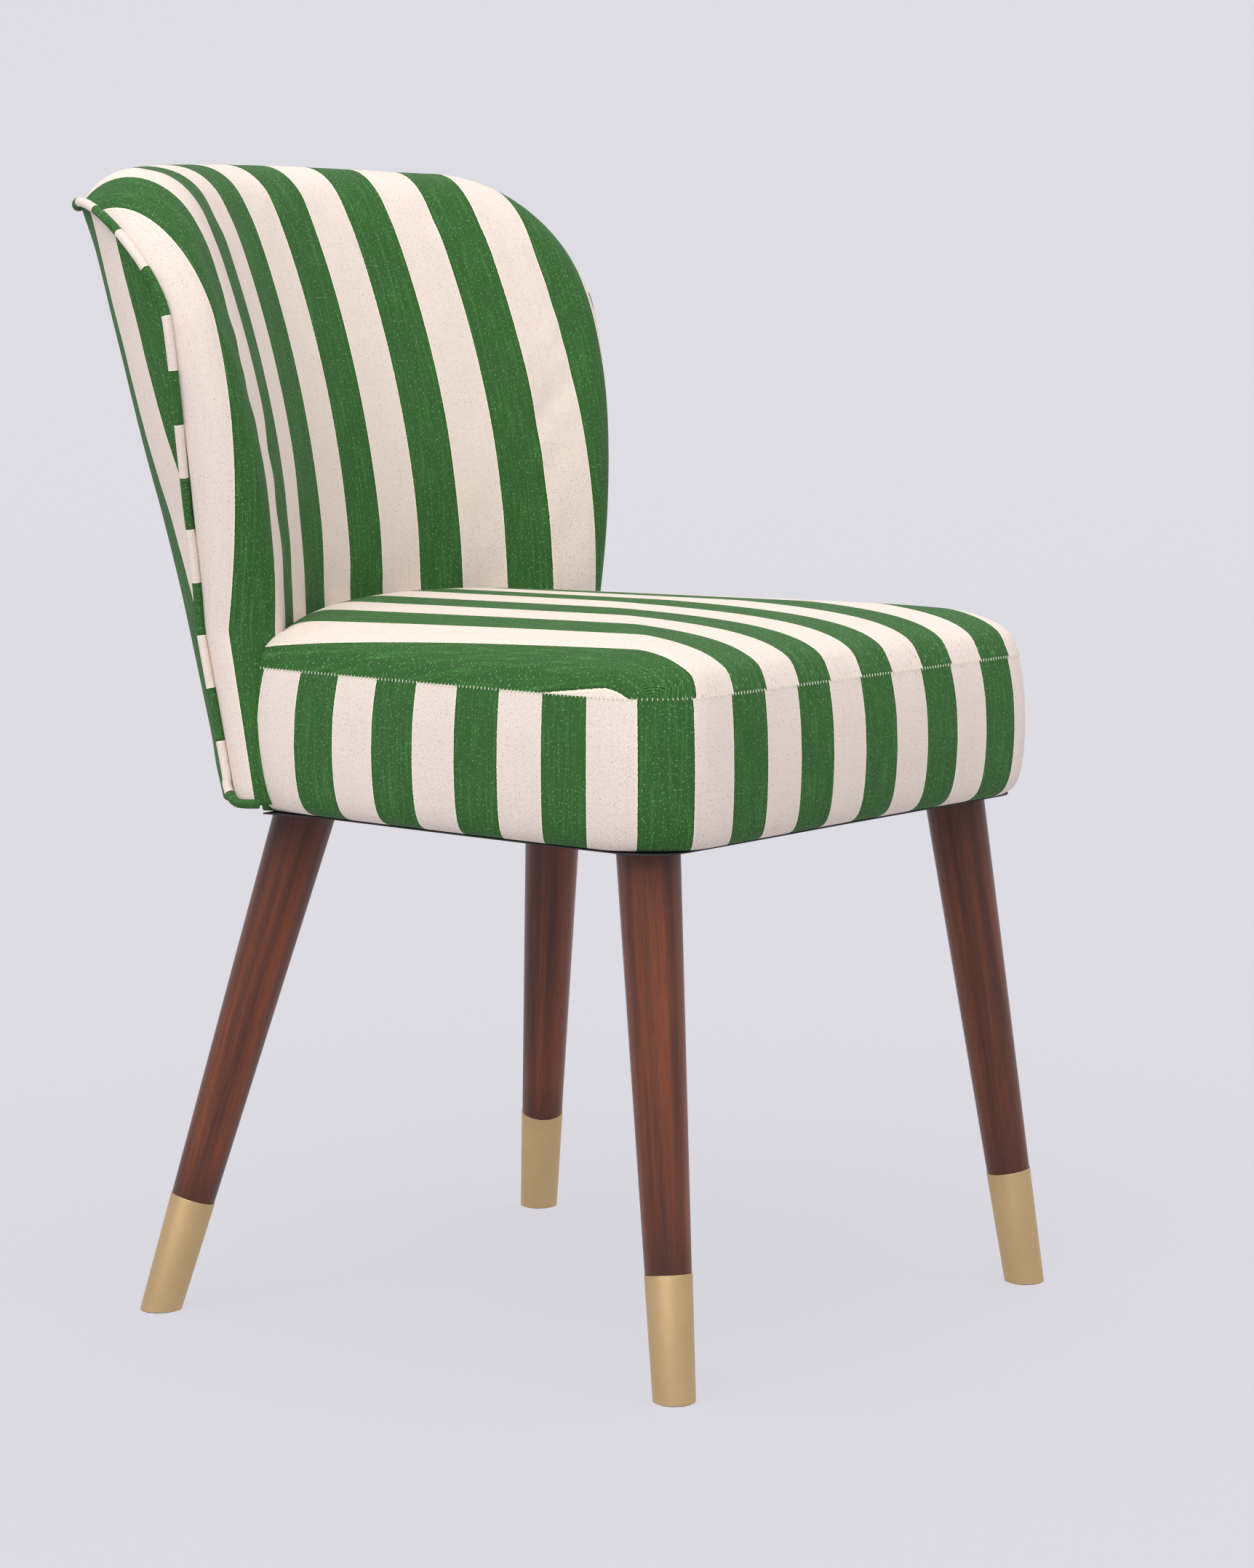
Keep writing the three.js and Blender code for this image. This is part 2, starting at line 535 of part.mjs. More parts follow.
Object.entries(railZones).forEach(([name, [low, high]]) => {
  addPiece(name, toGeometry(railLoop.intersect(boxBetween(low, high)).subtract(bores)), FINISH.hardwood);
});

// ---------------------------------------------------------------- back pieces
const COVER_EDGE = 0.985;
const PANEL_EDGE = 0.978;
const BOARD_EDGE = 0.945;
const ROOM_EDGE = 0.955;          // the posts' room in the foam ends a little lower than they do
const FOAM_FRONT_EDGE = 0.97;
const FOAM_REAR_EDGE = 0.965;
const boardFrom = CLOTH + GAP;
const boardTo = boardFrom + BACK_BOARD;
const postFrom = boardTo + GAP;
const postTo = postFrom + POST.depth;
const POST_ROOM = 0.9;            // clearance cut round each post in the foam

const postAt = (side, spare, edge) => {
  const half = POST.width / 2 + spare;
  return layer(rearInset, upTo(REAR_RINGS, edge), postFrom - spare, postTo + spare)
    .intersect(boxBetween([side * POST.centre - half, 0, POST.low - spare],
      [side * POST.centre + half, 500, POST.top + spare]));
};
Object.entries({ right: -1, left: 1 }).forEach(([name, side]) => {
  addPiece(`back_post_${name}`, toGeometry(postAt(side, 0, BOARD_EDGE).subtract(insertBores)), FINISH.hardwood);
});

addPiece('back_cover', toGeometry(layer(frontInset, upTo(FRONT_RINGS, COVER_EDGE), 0, CLOTH)
  .subtract(bores)), FINISH.stripe);
addPiece('back_outer_panel', toGeometry(layer(rearInset, upTo(REAR_RINGS, PANEL_EDGE), 0, CLOTH)),
  FINISH.stripe);
addPiece('back_board', toGeometry(layer(rearInset, upTo(REAR_RINGS, BOARD_EDGE), boardFrom, boardTo)
  .intersect(slab(POST.low, 1000))), FINISH.plywood);
const foamDepth = (r) => (r <= BOARD_EDGE + 0.01 ? boardTo + GAP : CLOTH + GAP + 1);
addPiece('back_foam', toGeometry(bodyBetween(
  face(rearInset, upTo(REAR_RINGS, FOAM_REAR_EDGE), foamDepth),
  face(frontInset, upTo(FRONT_RINGS, FOAM_FRONT_EDGE), () => CLOTH + GAP))
  .subtract(postAt(-1, POST_ROOM, ROOM_EDGE)).subtract(postAt(1, POST_ROOM, ROOM_EDGE)).subtract(insertBores)), FINISH.foam);

const seamOut = coverFlat.slice(0, seamCount).map((flat, k) => {
  const outward = unit(add(normalOf(coverPoint, towards(flat, 0.995), false),
    normalOf(outerPoint, towards(outerFlat[k], 0.995), true)));
  return add(seamPoints[k], outward, PIPING_PROUD);
});
const seamGirth = coverFlat[0][0];
const tail = (side) => [33, 21, 9].map((back) => {
  const flat = [side * (seamGirth - back), BACK_BOTTOM + 1];
  return add(add(coverPoint(...flat), normalOf(coverPoint, flat, false), PIPING_PROUD + 0.6), [0, 0, -1]);
});
const corner = (side) => [8, 24].map((up) => {
  const flat = [side * seamGirth, BACK_BOTTOM + up];
  return add(coverPoint(...flat), normalOf(coverPoint, flat, false), PIPING_PROUD + 1.2);
});
const pipingPath = new THREE.CatmullRomCurve3([
  ...tail(1), ...corner(1), ...seamOut.slice(1, -1), ...corner(-1).reverse(), ...tail(-1).reverse(),
].map((p) => new THREE.Vector3(...p)));
const pipingSection = new THREE.Shape().absarc(0, 0, PIPING_RADIUS, 0, Math.PI * 2);
addPiece('back_piping', new THREE.ExtrudeGeometry(pipingSection,
  { steps: 64, curveSegments: 4, extrudePath: pipingPath, bevelEnabled: false }), FINISH.stripe);

BOLTS.forEach(({ name, x, z, end }) => {
  const bolt = rodAlongY(x, z, BOLT_RADIUS, RAIL_INNER_Y - 1, end)
    .add(rodAlongY(x, z, 7, RAIL_INNER_Y - 6, RAIL_INNER_Y - GAP, 6));
  addPiece(`back_bolt_${name}`, toGeometry(bolt), FINISH.steel);
  const insert = rodAlongY(x, z, INSERT_RADIUS, end - INSERT_LENGTH, end)
    .subtract(rodAlongY(x, z, BOLT_RADIUS + GAP, 150, 350));
  addPiece(`back_insert_${name}`, toGeometry(insert), FINISH.brass);
});

// ---------------------------------------------------------------- origin
// The origin is on the floor, under the middle of the chair's overall box.
chair.updateMatrixWorld(true);
const overall = new THREE.Box3().setFromObject(chair);
chair.position.set(0, -(overall.min.y + overall.max.y) / 2, 0);

export default chair;
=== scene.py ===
"""Looks of an upholstered dining chair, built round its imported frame. Metres, +Z up, front towards -Y."""

import json
import math
import random

import bpy
import numpy as np
from bpy.props import FloatProperty, FloatVectorProperty, IntProperty, PointerProperty
from mathutils import Matrix, Vector


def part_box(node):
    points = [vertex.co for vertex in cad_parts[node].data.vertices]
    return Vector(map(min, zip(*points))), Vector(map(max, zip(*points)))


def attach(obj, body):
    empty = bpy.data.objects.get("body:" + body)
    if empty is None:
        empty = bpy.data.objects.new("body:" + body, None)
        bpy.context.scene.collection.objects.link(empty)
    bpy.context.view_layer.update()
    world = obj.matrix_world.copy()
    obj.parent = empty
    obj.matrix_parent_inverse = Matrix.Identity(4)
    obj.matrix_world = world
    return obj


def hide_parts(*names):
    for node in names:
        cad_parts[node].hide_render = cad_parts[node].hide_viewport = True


bl_info = {
    "name": "Striped dining chair",
    "version": (1, 0, 0),
    "blender": (4, 5, 0),
    "location": "3D View > Sidebar > Chair",
    "description": "Cloth, wood and brass for an upholstered dining chair",
    "category": "Object",
}

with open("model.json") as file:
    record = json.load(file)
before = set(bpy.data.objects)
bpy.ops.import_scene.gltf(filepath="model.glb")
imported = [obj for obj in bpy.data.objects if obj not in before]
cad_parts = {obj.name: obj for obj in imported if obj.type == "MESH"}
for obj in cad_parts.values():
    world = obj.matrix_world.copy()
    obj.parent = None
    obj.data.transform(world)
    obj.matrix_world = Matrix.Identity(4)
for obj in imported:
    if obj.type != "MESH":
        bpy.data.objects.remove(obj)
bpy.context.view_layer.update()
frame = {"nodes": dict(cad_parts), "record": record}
CORNERS = ("front_right", "front_left", "rear_right", "rear_left")


def middle_of(node):
    low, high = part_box(node)
    return (low + high) / 2


# The middle of the four feet: the seat and the back are placed from it.
FEET_Y = sum(middle_of(f"glide_{corner}").y for corner in CORNERS) / len(CORNERS)
SEAT_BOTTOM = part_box("seat_border")[0].z
SEAT_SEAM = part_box("seat_border")[1].z
BACK_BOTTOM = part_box("back_outer_panel")[0].z


# ------------------------------------------------------------------ settings
def length(name, description, default, **more):
    return FloatProperty(name=name, description=description, default=default, unit="LENGTH",
                         subtype="DISTANCE", precision=4, **more)


def colour(name, description, default):
    return FloatVectorProperty(name=name, description=description, default=default,
                               subtype="COLOR", size=3, min=0, max=1)


class ChairStageSettings(bpy.types.PropertyGroup):
    camera_place: FloatVectorProperty(
        name="Camera place", description="Camera position from the middle of the feet",
        default=(-2.6594, -1.9795, 0.7678), subtype="TRANSLATION", unit="LENGTH")
    camera_heading: FloatProperty(
        name="Heading", description="Turn of the view from the back of the chair towards its left",
        default=math.radians(53.693), subtype="ANGLE", unit="ROTATION")
    camera_dip: FloatProperty(
        name="Dip", description="How far the camera looks down",
        default=math.radians(6.659), subtype="ANGLE", unit="ROTATION")
    lens: FloatProperty(name="Lens", description="Focal length in millimetres", default=104.86)
    floor_radius: length("Floor", "Radius of the flat floor", 5.0)
    wall_height: length("Wall", "Height of the backdrop round the floor", 4.5)
    backdrop: colour("Backdrop", "Colour of the floor and backdrop", (0.735, 0.725, 0.775))


class ChairLegSettings(bpy.types.PropertyGroup):
    foot_radius: length("Foot radius", "Radius of a leg at the floor", 0.0141)
    top_radius: length("Top radius", "Radius of a leg at the top level", 0.0217)
    top_level: length("Top level", "Height at which the top radius is given", 0.36)
    ferrule_length: length("Ferrule", "Length of the ferrule along the leg", 0.086)
    ferrule_proud: length("Proud", "How far the ferrule stands outside the wood", 0.0005)
    ferrule_wall: length("Wall", "Thickness of the ferrule", 0.0012)
    sides: IntProperty(name="Sides", description="Facets round a leg", default=72, min=12)


class ChairSeatSettings(bpy.types.PropertyGroup):
    front: length("Front", "Seat front, from the middle of the feet", -0.2405)
    half_width: length("Half width", "Half the width at the front", 0.244)
    side_end_x: length("Side end across", "Half the width at the back", 0.2035)
    side_end_y: length("Side end along", "Where each side meets the back", 0.155)
    corner: length("Corner", "Front corner radius in plan", 0.056)
    crown: length("Crown", "Height of the seat's middle", 0.5185)
    mesh_step: length("Mesh step", "Edge length of the cushion's mesh", 0.0062)
    puff: length("Puff", "How far the stuffing may swell the cloth", 0.0035)
    stitch_pitch: length("Stitch pitch", "Distance between stitches", 0.0034)


class ChairBackSettings(bpy.types.PropertyGroup):
    side_roll: length("Side roll", "Radius of the rolled side edge", 0.0277)
    top_roll: length("Top roll", "Radius of the rolled top edge", 0.05)
    shoulder: length("Shoulder", "Corner radius between side and top", 0.068)
    top_line: length("Top line", "Height at which the top roll starts", 0.806)
    top_girth: length("Top girth", "Cloth over the top roll", 0.117)
    mesh_step: length("Mesh step", "Edge length of the cover's mesh", 0.006)
    puff: length("Puff", "How far the stuffing may swell the cloth", 0.0022)
    cloth: length("Cloth", "Thickness of the outer panel", 0.0014)
    piping_radius: length("Piping", "Radius of the piping", 0.0034)
    piping_proud: length("Piping proud", "How far the piping stands off the seam", 0.003)


class ChairFabricSettings(bpy.types.PropertyGroup):
    green: colour("Green", "The darker stripe", (0.033, 0.108, 0.026))
    cream: colour("Cream", "The lighter stripe", (0.80, 0.69, 0.615))
    stripe: length("Stripe", "Width of a stripe on the back", 0.0379)
    seat_stripe: length("Seat stripe", "Width of a stripe on the seat", 0.039)
    rib: length("Herringbone", "Width of one herringbone column", 0.0146)
    twill: length("Twill", "Distance between the weave's diagonals", 0.00145)


class ChairWoodSettings(bpy.types.PropertyGroup):
    light: colour("Light grain", "The lighter grain of the legs", (0.20, 0.052, 0.020))
    dark: colour("Dark grain", "The darker grain of the legs", (0.045, 0.014, 0.009))
    brass: colour("Brass", "Colour of the ferrules", (0.56, 0.395, 0.20))


# ------------------------------------------------------------------ objects and meshes
def deselect():
    if bpy.context.mode != "OBJECT":
        bpy.ops.object.mode_set(mode="OBJECT")
    bpy.ops.object.select_all(action="DESELECT")


def choose(piece):
    deselect()
    piece.select_set(True)
    bpy.context.view_layer.objects.active = piece


def apply_modifier(piece, modifier):
    choose(piece)
    bpy.ops.object.modifier_apply(modifier=modifier.name)


def seat_on_frame(piece, nodes, material):
    """Gives a finished piece its finish and its place on the frame."""
    piece.data.materials.clear()
    piece.data.materials.append(material)
    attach(piece, "root")
    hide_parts(*nodes)


def mesh_piece(name, points, faces, corner_uv):
    """A smooth piece from points, faces and one UV for each corner of each face."""
    mesh = bpy.data.meshes.new(name)
    mesh.from_pydata([tuple(p) for p in points], [], faces)
    layer = mesh.uv_layers.new(name="cloth")
    layer.data.foreach_set("uv", np.asarray(corner_uv, np.float32).ravel())
    mesh.polygons.foreach_set("use_smooth", [True] * len(mesh.polygons))
    mesh.update()
    piece = bpy.data.objects.new(name, mesh)
    bpy.context.scene.collection.objects.link(piece)
    return piece


def grid_piece(name, points, uv, flip=False):
    """A sheet from rows of points and the rows of their UVs."""
    rows, columns = points.shape[:2]
    faces, corners = [], []
    for k in range(rows - 1):
        for i in range(columns - 1):
            around = [(k, i), (k, i + 1), (k + 1, i + 1), (k + 1, i)]
            if flip:
                around.reverse()
            faces.append([row * columns + column for row, column in around])
            corners.extend(uv[row, column] for row, column in around)
    return mesh_piece(name, points.reshape(-1, 3), faces, corners)


def resample(points, count):
    """Evenly spaced points along a polyline."""
    points = np.asarray(points, float)
    steps = np.linalg.norm(np.diff(points, axis=0), axis=1)
    along = np.concatenate([[0], np.cumsum(steps)])
    wanted = np.linspace(0, along[-1], count)
    return np.column_stack([np.interp(wanted, along, points[:, axis]) for axis in range(points.shape[1])])


def path_length(points):
    steps = np.linalg.norm(np.diff(points, axis=0), axis=1)
    return np.concatenate([[0], np.cumsum(steps)])


def unit(vectors):
    return vectors / np.maximum(np.linalg.norm(vectors, axis=-1, keepdims=True), 1e-12)


def smooth(t):
    return t * t * (3 - 2 * t)


def placed(points):
    """Points given from the middle of the feet, moved to the frame."""
    return np.asarray(points, float) + np.array([0, FEET_Y, 0])


def coons(bottom, top, left, right):
    """Fills four edges with an even grid of points. Left and right run from bottom to top."""
    v = np.linspace(0, 1, len(left))[:, None, None]
    u = np.linspace(0, 1, len(bottom))[None, :, None]
    ruled = (1 - v) * bottom[None] + v * top[None] + (1 - u) * left[:, None] + u * right[:, None]
    corners = ((1 - u) * (1 - v) * bottom[0] + u * (1 - v) * bottom[-1]
               + (1 - u) * v * top[0] + u * v * top[-1])
    return ruled - corners


def inflate(piece, held, pressure, cap, frames=20):
    """Swells the cloth of a piece by simulation. Held points stay, and no point moves past the cap."""
    mesh = piece.data
    before = np.empty(len(mesh.vertices) * 3)
    mesh.vertices.foreach_get("co", before)
    before = before.reshape(-1, 3)
    group = piece.vertex_groups.new(name="held")
    group.add([int(index) for index in held], 1.0, "REPLACE")
    modifier = piece.modifiers.new("swell", "CLOTH")
    cloth = modifier.settings
    cloth.quality = 5
    cloth.mass = 0.25
    cloth.tension_stiffness = 12
    cloth.compression_stiffness = 12
    cloth.shear_stiffness = 6
    cloth.bending_stiffness = 0.4
    cloth.vertex_group_mass = group.name
    cloth.use_pressure = True
    cloth.uniform_pressure_force = pressure
    cloth.effector_weights.gravity = 0
    modifier.collision_settings.use_collision = False
    modifier.point_cache.frame_start = 1
    modifier.point_cache.frame_end = frames
    scene = bpy.context.scene
    for number in range(1, frames + 1):
        scene.frame_set(number)
    apply_modifier(piece, modifier)
    scene.frame_set(1)
    after = np.empty_like(before).ravel()
    piece.data.vertices.foreach_get("co", after)
    moved = after.reshape(-1, 3) - before
    distance = np.linalg.norm(moved, axis=1, keepdims=True)
    limited = moved * (cap * np.tanh(distance / cap) / np.maximum(distance, 1e-9))
    piece.data.vertices.foreach_set("co", (before + limited).astype(np.float32).ravel())
    piece.vertex_groups.clear()
    piece.data.update()


# ------------------------------------------------------------------ material nodes
class Nodes:
    """Short forms for the nodes that the finishes are made of."""

    def __init__(self, name):
        self.material = bpy.data.materials.new(name)
        self.material.use_nodes = True
        self.tree = self.material.node_tree
        self.shader = self.tree.nodes["Principled BSDF"]

    def add(self, kind, inputs=None, **settings):
        node = self.tree.nodes.new(kind)
        for key, value in settings.items():
            setattr(node, key, value)
        for key, value in (inputs or {}).items():
            self.feed(node.inputs[key], value)
        return node

    def feed(self, socket, value):
        if isinstance(value, bpy.types.NodeSocket):
            self.tree.links.new(value, socket)
        else:
            socket.default_value = value

    def math(self, operation, *values):
        node = self.add("ShaderNodeMath", operation=operation)
        for socket, value in zip(node.inputs, values):
            self.feed(socket, value)
        return node.outputs[0]

    def mix(self, share, first, second, blend="MIX"):
        node = self.add("ShaderNodeMix", data_type="RGBA", blend_type=blend)
        self.feed(node.inputs[0], share)
        self.feed(node.inputs[6], first)
        self.feed(node.inputs[7], second)
        return node.outputs[2]

    def noise(self, vector, scale, detail=2.0, roughness=0.5):
        return self.add("ShaderNodeTexNoise", {"Vector": vector, "Scale": scale, "Detail": detail,
                                               "Roughness": roughness}).outputs["Fac"]

    def scaled(self, vector, scale):
        return self.add("ShaderNodeMapping", {"Vector": vector, "Scale": scale}).outputs[0]

    def ramp(self, value, low, high):
        """0 below low, 1 above high, smooth between."""
        return self.add("ShaderNodeMapRange", {"Value": value, "From Min": low, "From Max": high},
                        interpolation_type="SMOOTHSTEP").outputs[0]

    def finish(self, base, roughness, bump=None, depth=0.0, **constants):
        self.feed(self.shader.inputs["Base Color"], base)
        self.feed(self.shader.inputs["Roughness"], roughness)
        for name, value in constants.items():
            self.shader.inputs[name.replace("_", " ")].default_value = value
        if bump is not None:
            node = self.add("ShaderNodeBump", {"Height": bump, "Strength": 1.0, "Distance": depth})
            self.feed(self.shader.inputs["Normal"], node.outputs[0])
        return self.material


def shade(rgb, factor):
    return (*[channel * factor for channel in rgb], 1.0)


def striped_cloth(name, stripe, shift):
    """Herringbone cotton in green and cream stripes that run along the cloth's V direction."""
    look = bpy.context.scene.chair_fabric
    nodes = Nodes(name)
    uv = nodes.add("ShaderNodeUVMap", uv_map="cloth").outputs[0]
    parts = nodes.add("ShaderNodeSeparateXYZ", {"Vector": uv})
    across, along = parts.outputs[0], parts.outputs[1]
    flat = nodes.add("ShaderNodeCombineXYZ", {"X": across, "Y": along}).outputs[0]

    # Threads step a stripe's edge by a fraction of a millimetre.
    wander = nodes.noise(nodes.scaled(flat, (90, 900, 1)), 1.0)
    step = nodes.math("MULTIPLY", nodes.math("SUBTRACT", wander, 0.5), 0.0012)
    place = nodes.math("DIVIDE", nodes.math("SUBTRACT", nodes.math("ADD", across, step), shift), stripe)
    turn = nodes.math("FRACT", nodes.math("MULTIPLY_ADD", place, 0.5, 0.25))
    in_green = nodes.ramp(nodes.math("ABSOLUTE", nodes.math("SUBTRACT", turn, 0.25)), 0.2515, 0.2485)
    part_way = nodes.math("FRACT", nodes.math("ADD", place, 0.5))
    inside = nodes.math("ABSOLUTE", nodes.math("SUBTRACT", part_way, 0.5))
    edge_line = nodes.ramp(inside, 0.468, 0.49)

    # The weave: diagonals that turn back at each herringbone column.
    zigzag = nodes.math("PINGPONG", across, look.rib)
    diagonal = nodes.math("MULTIPLY", nodes.math("MULTIPLY_ADD", zigzag, 1.15, along),
                          2 * math.pi / look.twill)
    twill = nodes.math("MULTIPLY_ADD", nodes.math("SINE", diagonal), 0.5, 0.5)
    yarn = nodes.noise(nodes.scaled(flat, (2600, 900, 1)), 1.0, 3.0, 0.6)
    weave = nodes.math("MULTIPLY_ADD", yarn, 0.5, nodes.math("MULTIPLY", twill, 0.6))

    # Slubs run along the threads; flecks are short and scattered.
    slub = nodes.noise(nodes.scaled(flat, (420, 24, 1)), 1.0, 3.0, 0.65)
    cross_slub = nodes.noise(nodes.scaled(flat, (30, 520, 1)), 1.0, 2.0, 0.6)
    fleck = nodes.ramp(nodes.noise(nodes.scaled(flat, (1000, 560, 1)), 1.0, 1.0, 0.5), 0.63, 0.71)
    patch = nodes.noise(nodes.scaled(flat, (9, 9, 1)), 1.0, 2.0, 0.5)

    green = nodes.mix(nodes.ramp(weave, 0.2, 0.95), shade(look.green, 0.55), shade(look.green, 1.5))
    streak = nodes.math("MULTIPLY", nodes.ramp(slub, 0.45, 0.75), 0.6)
    green = nodes.mix(streak, green, shade(look.green, 2.0))
    green = nodes.mix(nodes.math("MULTIPLY", fleck, 0.55), green, (0.30, 0.44, 0.24, 1))
    cream = nodes.mix(nodes.ramp(weave, 0.15, 0.9), shade(look.cream, 0.86), shade(look.cream, 1.04))
    cream = nodes.mix(nodes.math("MULTIPLY", nodes.ramp(slub, 0.5, 0.8), 0.4), cream, (0.62, 0.51, 0.42, 1))
    streak = nodes.math("MULTIPLY", nodes.ramp(cross_slub, 0.55, 0.8), 0.3)
    cream = nodes.mix(streak, cream, (0.64, 0.54, 0.45, 1))
    cream = nodes.mix(nodes.math("MULTIPLY", fleck, 0.6), cream, (0.38, 0.28, 0.20, 1))
    edge = nodes.mix(in_green, (0.86, 0.82, 0.60, 1), shade(look.green, 0.45))
    cloth = nodes.mix(in_green, cream, green)
    cloth = nodes.mix(nodes.math("MULTIPLY", edge_line, 0.75), cloth, edge)
    tone = nodes.add("ShaderNodeHueSaturation", {
        "Color": cloth, "Value": nodes.math("MULTIPLY_ADD", patch, 0.10, 0.95)}).outputs[0]
    height = nodes.math("ADD", weave, nodes.math("MULTIPLY", slub, 0.5))
    rough = nodes.math("MULTIPLY_ADD", twill, -0.06, 0.9)
    return nodes.finish(tone, rough, height, 0.00022, Sheen_Weight=0.07, Sheen_Roughness=0.35,
                        Specular_IOR_Level=0.12)


def polished_wood():
    """Stained wood with its grain along the leg, a little darker towards both ends; near the top this
    darkening is partly painted shade under the seat.
    """
    look = bpy.context.scene.chair_wood
    nodes = Nodes("stained walnut")
    grain = nodes.add("ShaderNodeAttribute", attribute_name="grain").outputs["Vector"]
    height = nodes.add("ShaderNodeSeparateXYZ", {"Vector": grain}).outputs[2]
    streak = nodes.noise(nodes.scaled(grain, (95, 95, 3.2)), 1.0, 4.0, 0.6)
    fine = nodes.noise(nodes.scaled(grain, (620, 620, 14)), 1.0, 3.0, 0.65)
    pore = nodes.ramp(nodes.noise(nodes.scaled(grain, (1500, 1500, 38)), 1.0, 1.0, 0.5), 0.62, 0.72)
    broad = nodes.noise(nodes.scaled(grain, (26, 26, 1.1)), 1.0, 2.0, 0.5)
    base = nodes.mix(nodes.ramp(streak, 0.3, 0.72), shade(look.dark, 1.3), shade(look.light, 1.0))
    base = nodes.mix(nodes.math("MULTIPLY", nodes.ramp(fine, 0.35, 0.75), 0.4), base, shade(look.dark, 1.6))
    cloud = nodes.math("MULTIPLY", nodes.ramp(broad, 0.45, 0.75), 0.35)
    base = nodes.mix(cloud, base, shade(look.light, 1.35))
    base = nodes.mix(nodes.math("MULTIPLY", pore, 0.55), base, shade(look.dark, 0.8))
    # Darker towards both ends of the leg: near the top this is partly painted shade from the seat above,
    # and near the ferrule it is only a darker tone.
    ends_and_painted_seat_shade = nodes.math("MAXIMUM", nodes.ramp(height, 0.27, 0.39), nodes.ramp(height, 0.13, 0.085))
    base = nodes.mix(nodes.math("MULTIPLY", ends_and_painted_seat_shade, 0.55), base, shade(look.dark, 1.0))
    rough = nodes.math("MULTIPLY_ADD", fine, 0.18, 0.28)
    bump = nodes.math("SUBTRACT", nodes.math("MULTIPLY", fine, 0.5), pore)
    return nodes.finish(base, rough, bump, 0.00006, Coat_Weight=0.12, Coat_Roughness=0.2,
                        Specular_IOR_Level=0.3)


def satin_metal(name, rgb, roughness, attribute=None):
    """Satin metal with fine turning marks and a faint change of tone."""
    nodes = Nodes(name)
    if attribute:
        place = nodes.add("ShaderNodeAttribute", attribute_name=attribute).outputs["Vector"]
    else:
        place = nodes.add("ShaderNodeTexCoord").outputs["Object"]
    marks = nodes.noise(nodes.scaled(place, (60, 60, 2200)), 1.0, 2.0, 0.6)
    cloud = nodes.noise(nodes.scaled(place, (45, 45, 30)), 1.0, 3.0, 0.6)
    speck = nodes.ramp(nodes.noise(place, 900.0, 1.0, 0.5), 0.68, 0.76)
    base = nodes.mix(cloud, shade(rgb, 0.9), shade(rgb, 1.12))
    base = nodes.mix(nodes.math("MULTIPLY", speck, 0.25), base, shade(rgb, 0.55))
    rough = nodes.math("MULTIPLY_ADD", marks, 0.12, roughness - 0.04)
    return nodes.finish(base, rough, marks, 0.00002, Metallic=0.82)


def bare_wood(name, light, dark, along):
    """Unfinished wood inside the seat and the back."""
    nodes = Nodes(name)
    place = nodes.add("ShaderNodeTexCoord").outputs["Object"]
    streak = nodes.noise(nodes.scaled(place, along), 1.0, 4.0, 0.6)
    fine = nodes.noise(nodes.scaled(place, tuple(6 * scale for scale in along)), 1.0, 3.0, 0.6)
    base = nodes.mix(nodes.ramp(streak, 0.3, 0.7), (*dark, 1), (*light, 1))
    base = nodes.mix(nodes.math("MULTIPLY", fine, 0.3), base, (*dark, 1))
    return nodes.finish(base, nodes.math("MULTIPLY_ADD", fine, 0.2, 0.6), fine, 0.0001)


def lining_cloth():
    """Black non-woven cloth: a field of pressed dots under short fibres."""
    nodes = Nodes("lining cloth")
    place = nodes.add("ShaderNodeTexCoord").outputs["Object"]
    cells = nodes.add("ShaderNodeTexVoronoi", {"Vector": place, "Scale": 420.0, "Randomness": 0.15})
    dots = cells.outputs["Distance"]
    fibre = nodes.noise(nodes.scaled(place, (500, 900, 500)), 1.0, 4.0, 0.7)
    base = nodes.mix(fibre, (0.012, 0.012, 0.013, 1), (0.05, 0.05, 0.052, 1))
    return nodes.finish(base, nodes.math("MULTIPLY_ADD", fibre, 0.1, 0.85), dots, 0.0002)


def moulded_nylon():
    """Dark plastic with a faint moulded grain."""
    nodes = Nodes("nylon")
    place = nodes.add("ShaderNodeTexCoord").outputs["Object"]
    pebble = nodes.noise(place, 1400.0, 2.0, 0.6)
    base = nodes.mix(pebble, (0.018, 0.017, 0.016, 1), (0.04, 0.038, 0.035, 1))
    return nodes.finish(base, nodes.math("MULTIPLY_ADD", pebble, 0.15, 0.5), pebble, 0.00005)


# ------------------------------------------------------------------ shape of the back
LEVEL = 0.6                      # height at which the back's section is given
WAIST = 0.5                      # below this the section stays the same
INNER_Y = 0.232                  # inner face at the centre line
INNER_LEAN = 0.172
INNER_SWEEP = 0.705
INNER_TURN = (0.942, -0.353)     # turn of the face, in radians, at the turn girth
OUTER_Y = 0.32
OUTER_LEAN = 0.286
OUTER_TURN = (0.454, 0.267)
TURN_GIRTH = 0.2
TOP_ARCH = 0.0145
ROLL_START = 0.2083              # girth from the centre to the start of the side roll
ROLL_START_RISE = 0.159
SIDE_GIRTH = 0.0773              # cloth round the side roll, from its start to the piping
SIDE_GIRTH_RISE = -0.203
SIDE_GIRTH_MOST = 0.08
SHOULDER_TUCK = 0.012
TUCK = 0.228
GIRTH_STEP = 0.002
SHOULDER_STEPS = 30              # points round each shoulder of the seam
SIDE_STEPS = 60                  # points up each side of the seam
TOP_STEPS = 40                   # points along its top
COVER_SHIFT = 0.0033             # where the middle stripe lies on the cover, and on the outer panel
OUTER_SHIFT = 0.006
PIPING_STRIPE = 0.0385
PIPING_SHIFT = 0.0639
PIPING_SIDES = 14
PIPING_TAIL = ((0.0, 0.020), (0.0, 0.008), (0.009, 0.001), (0.021, 0.001), (0.033, 0.001))


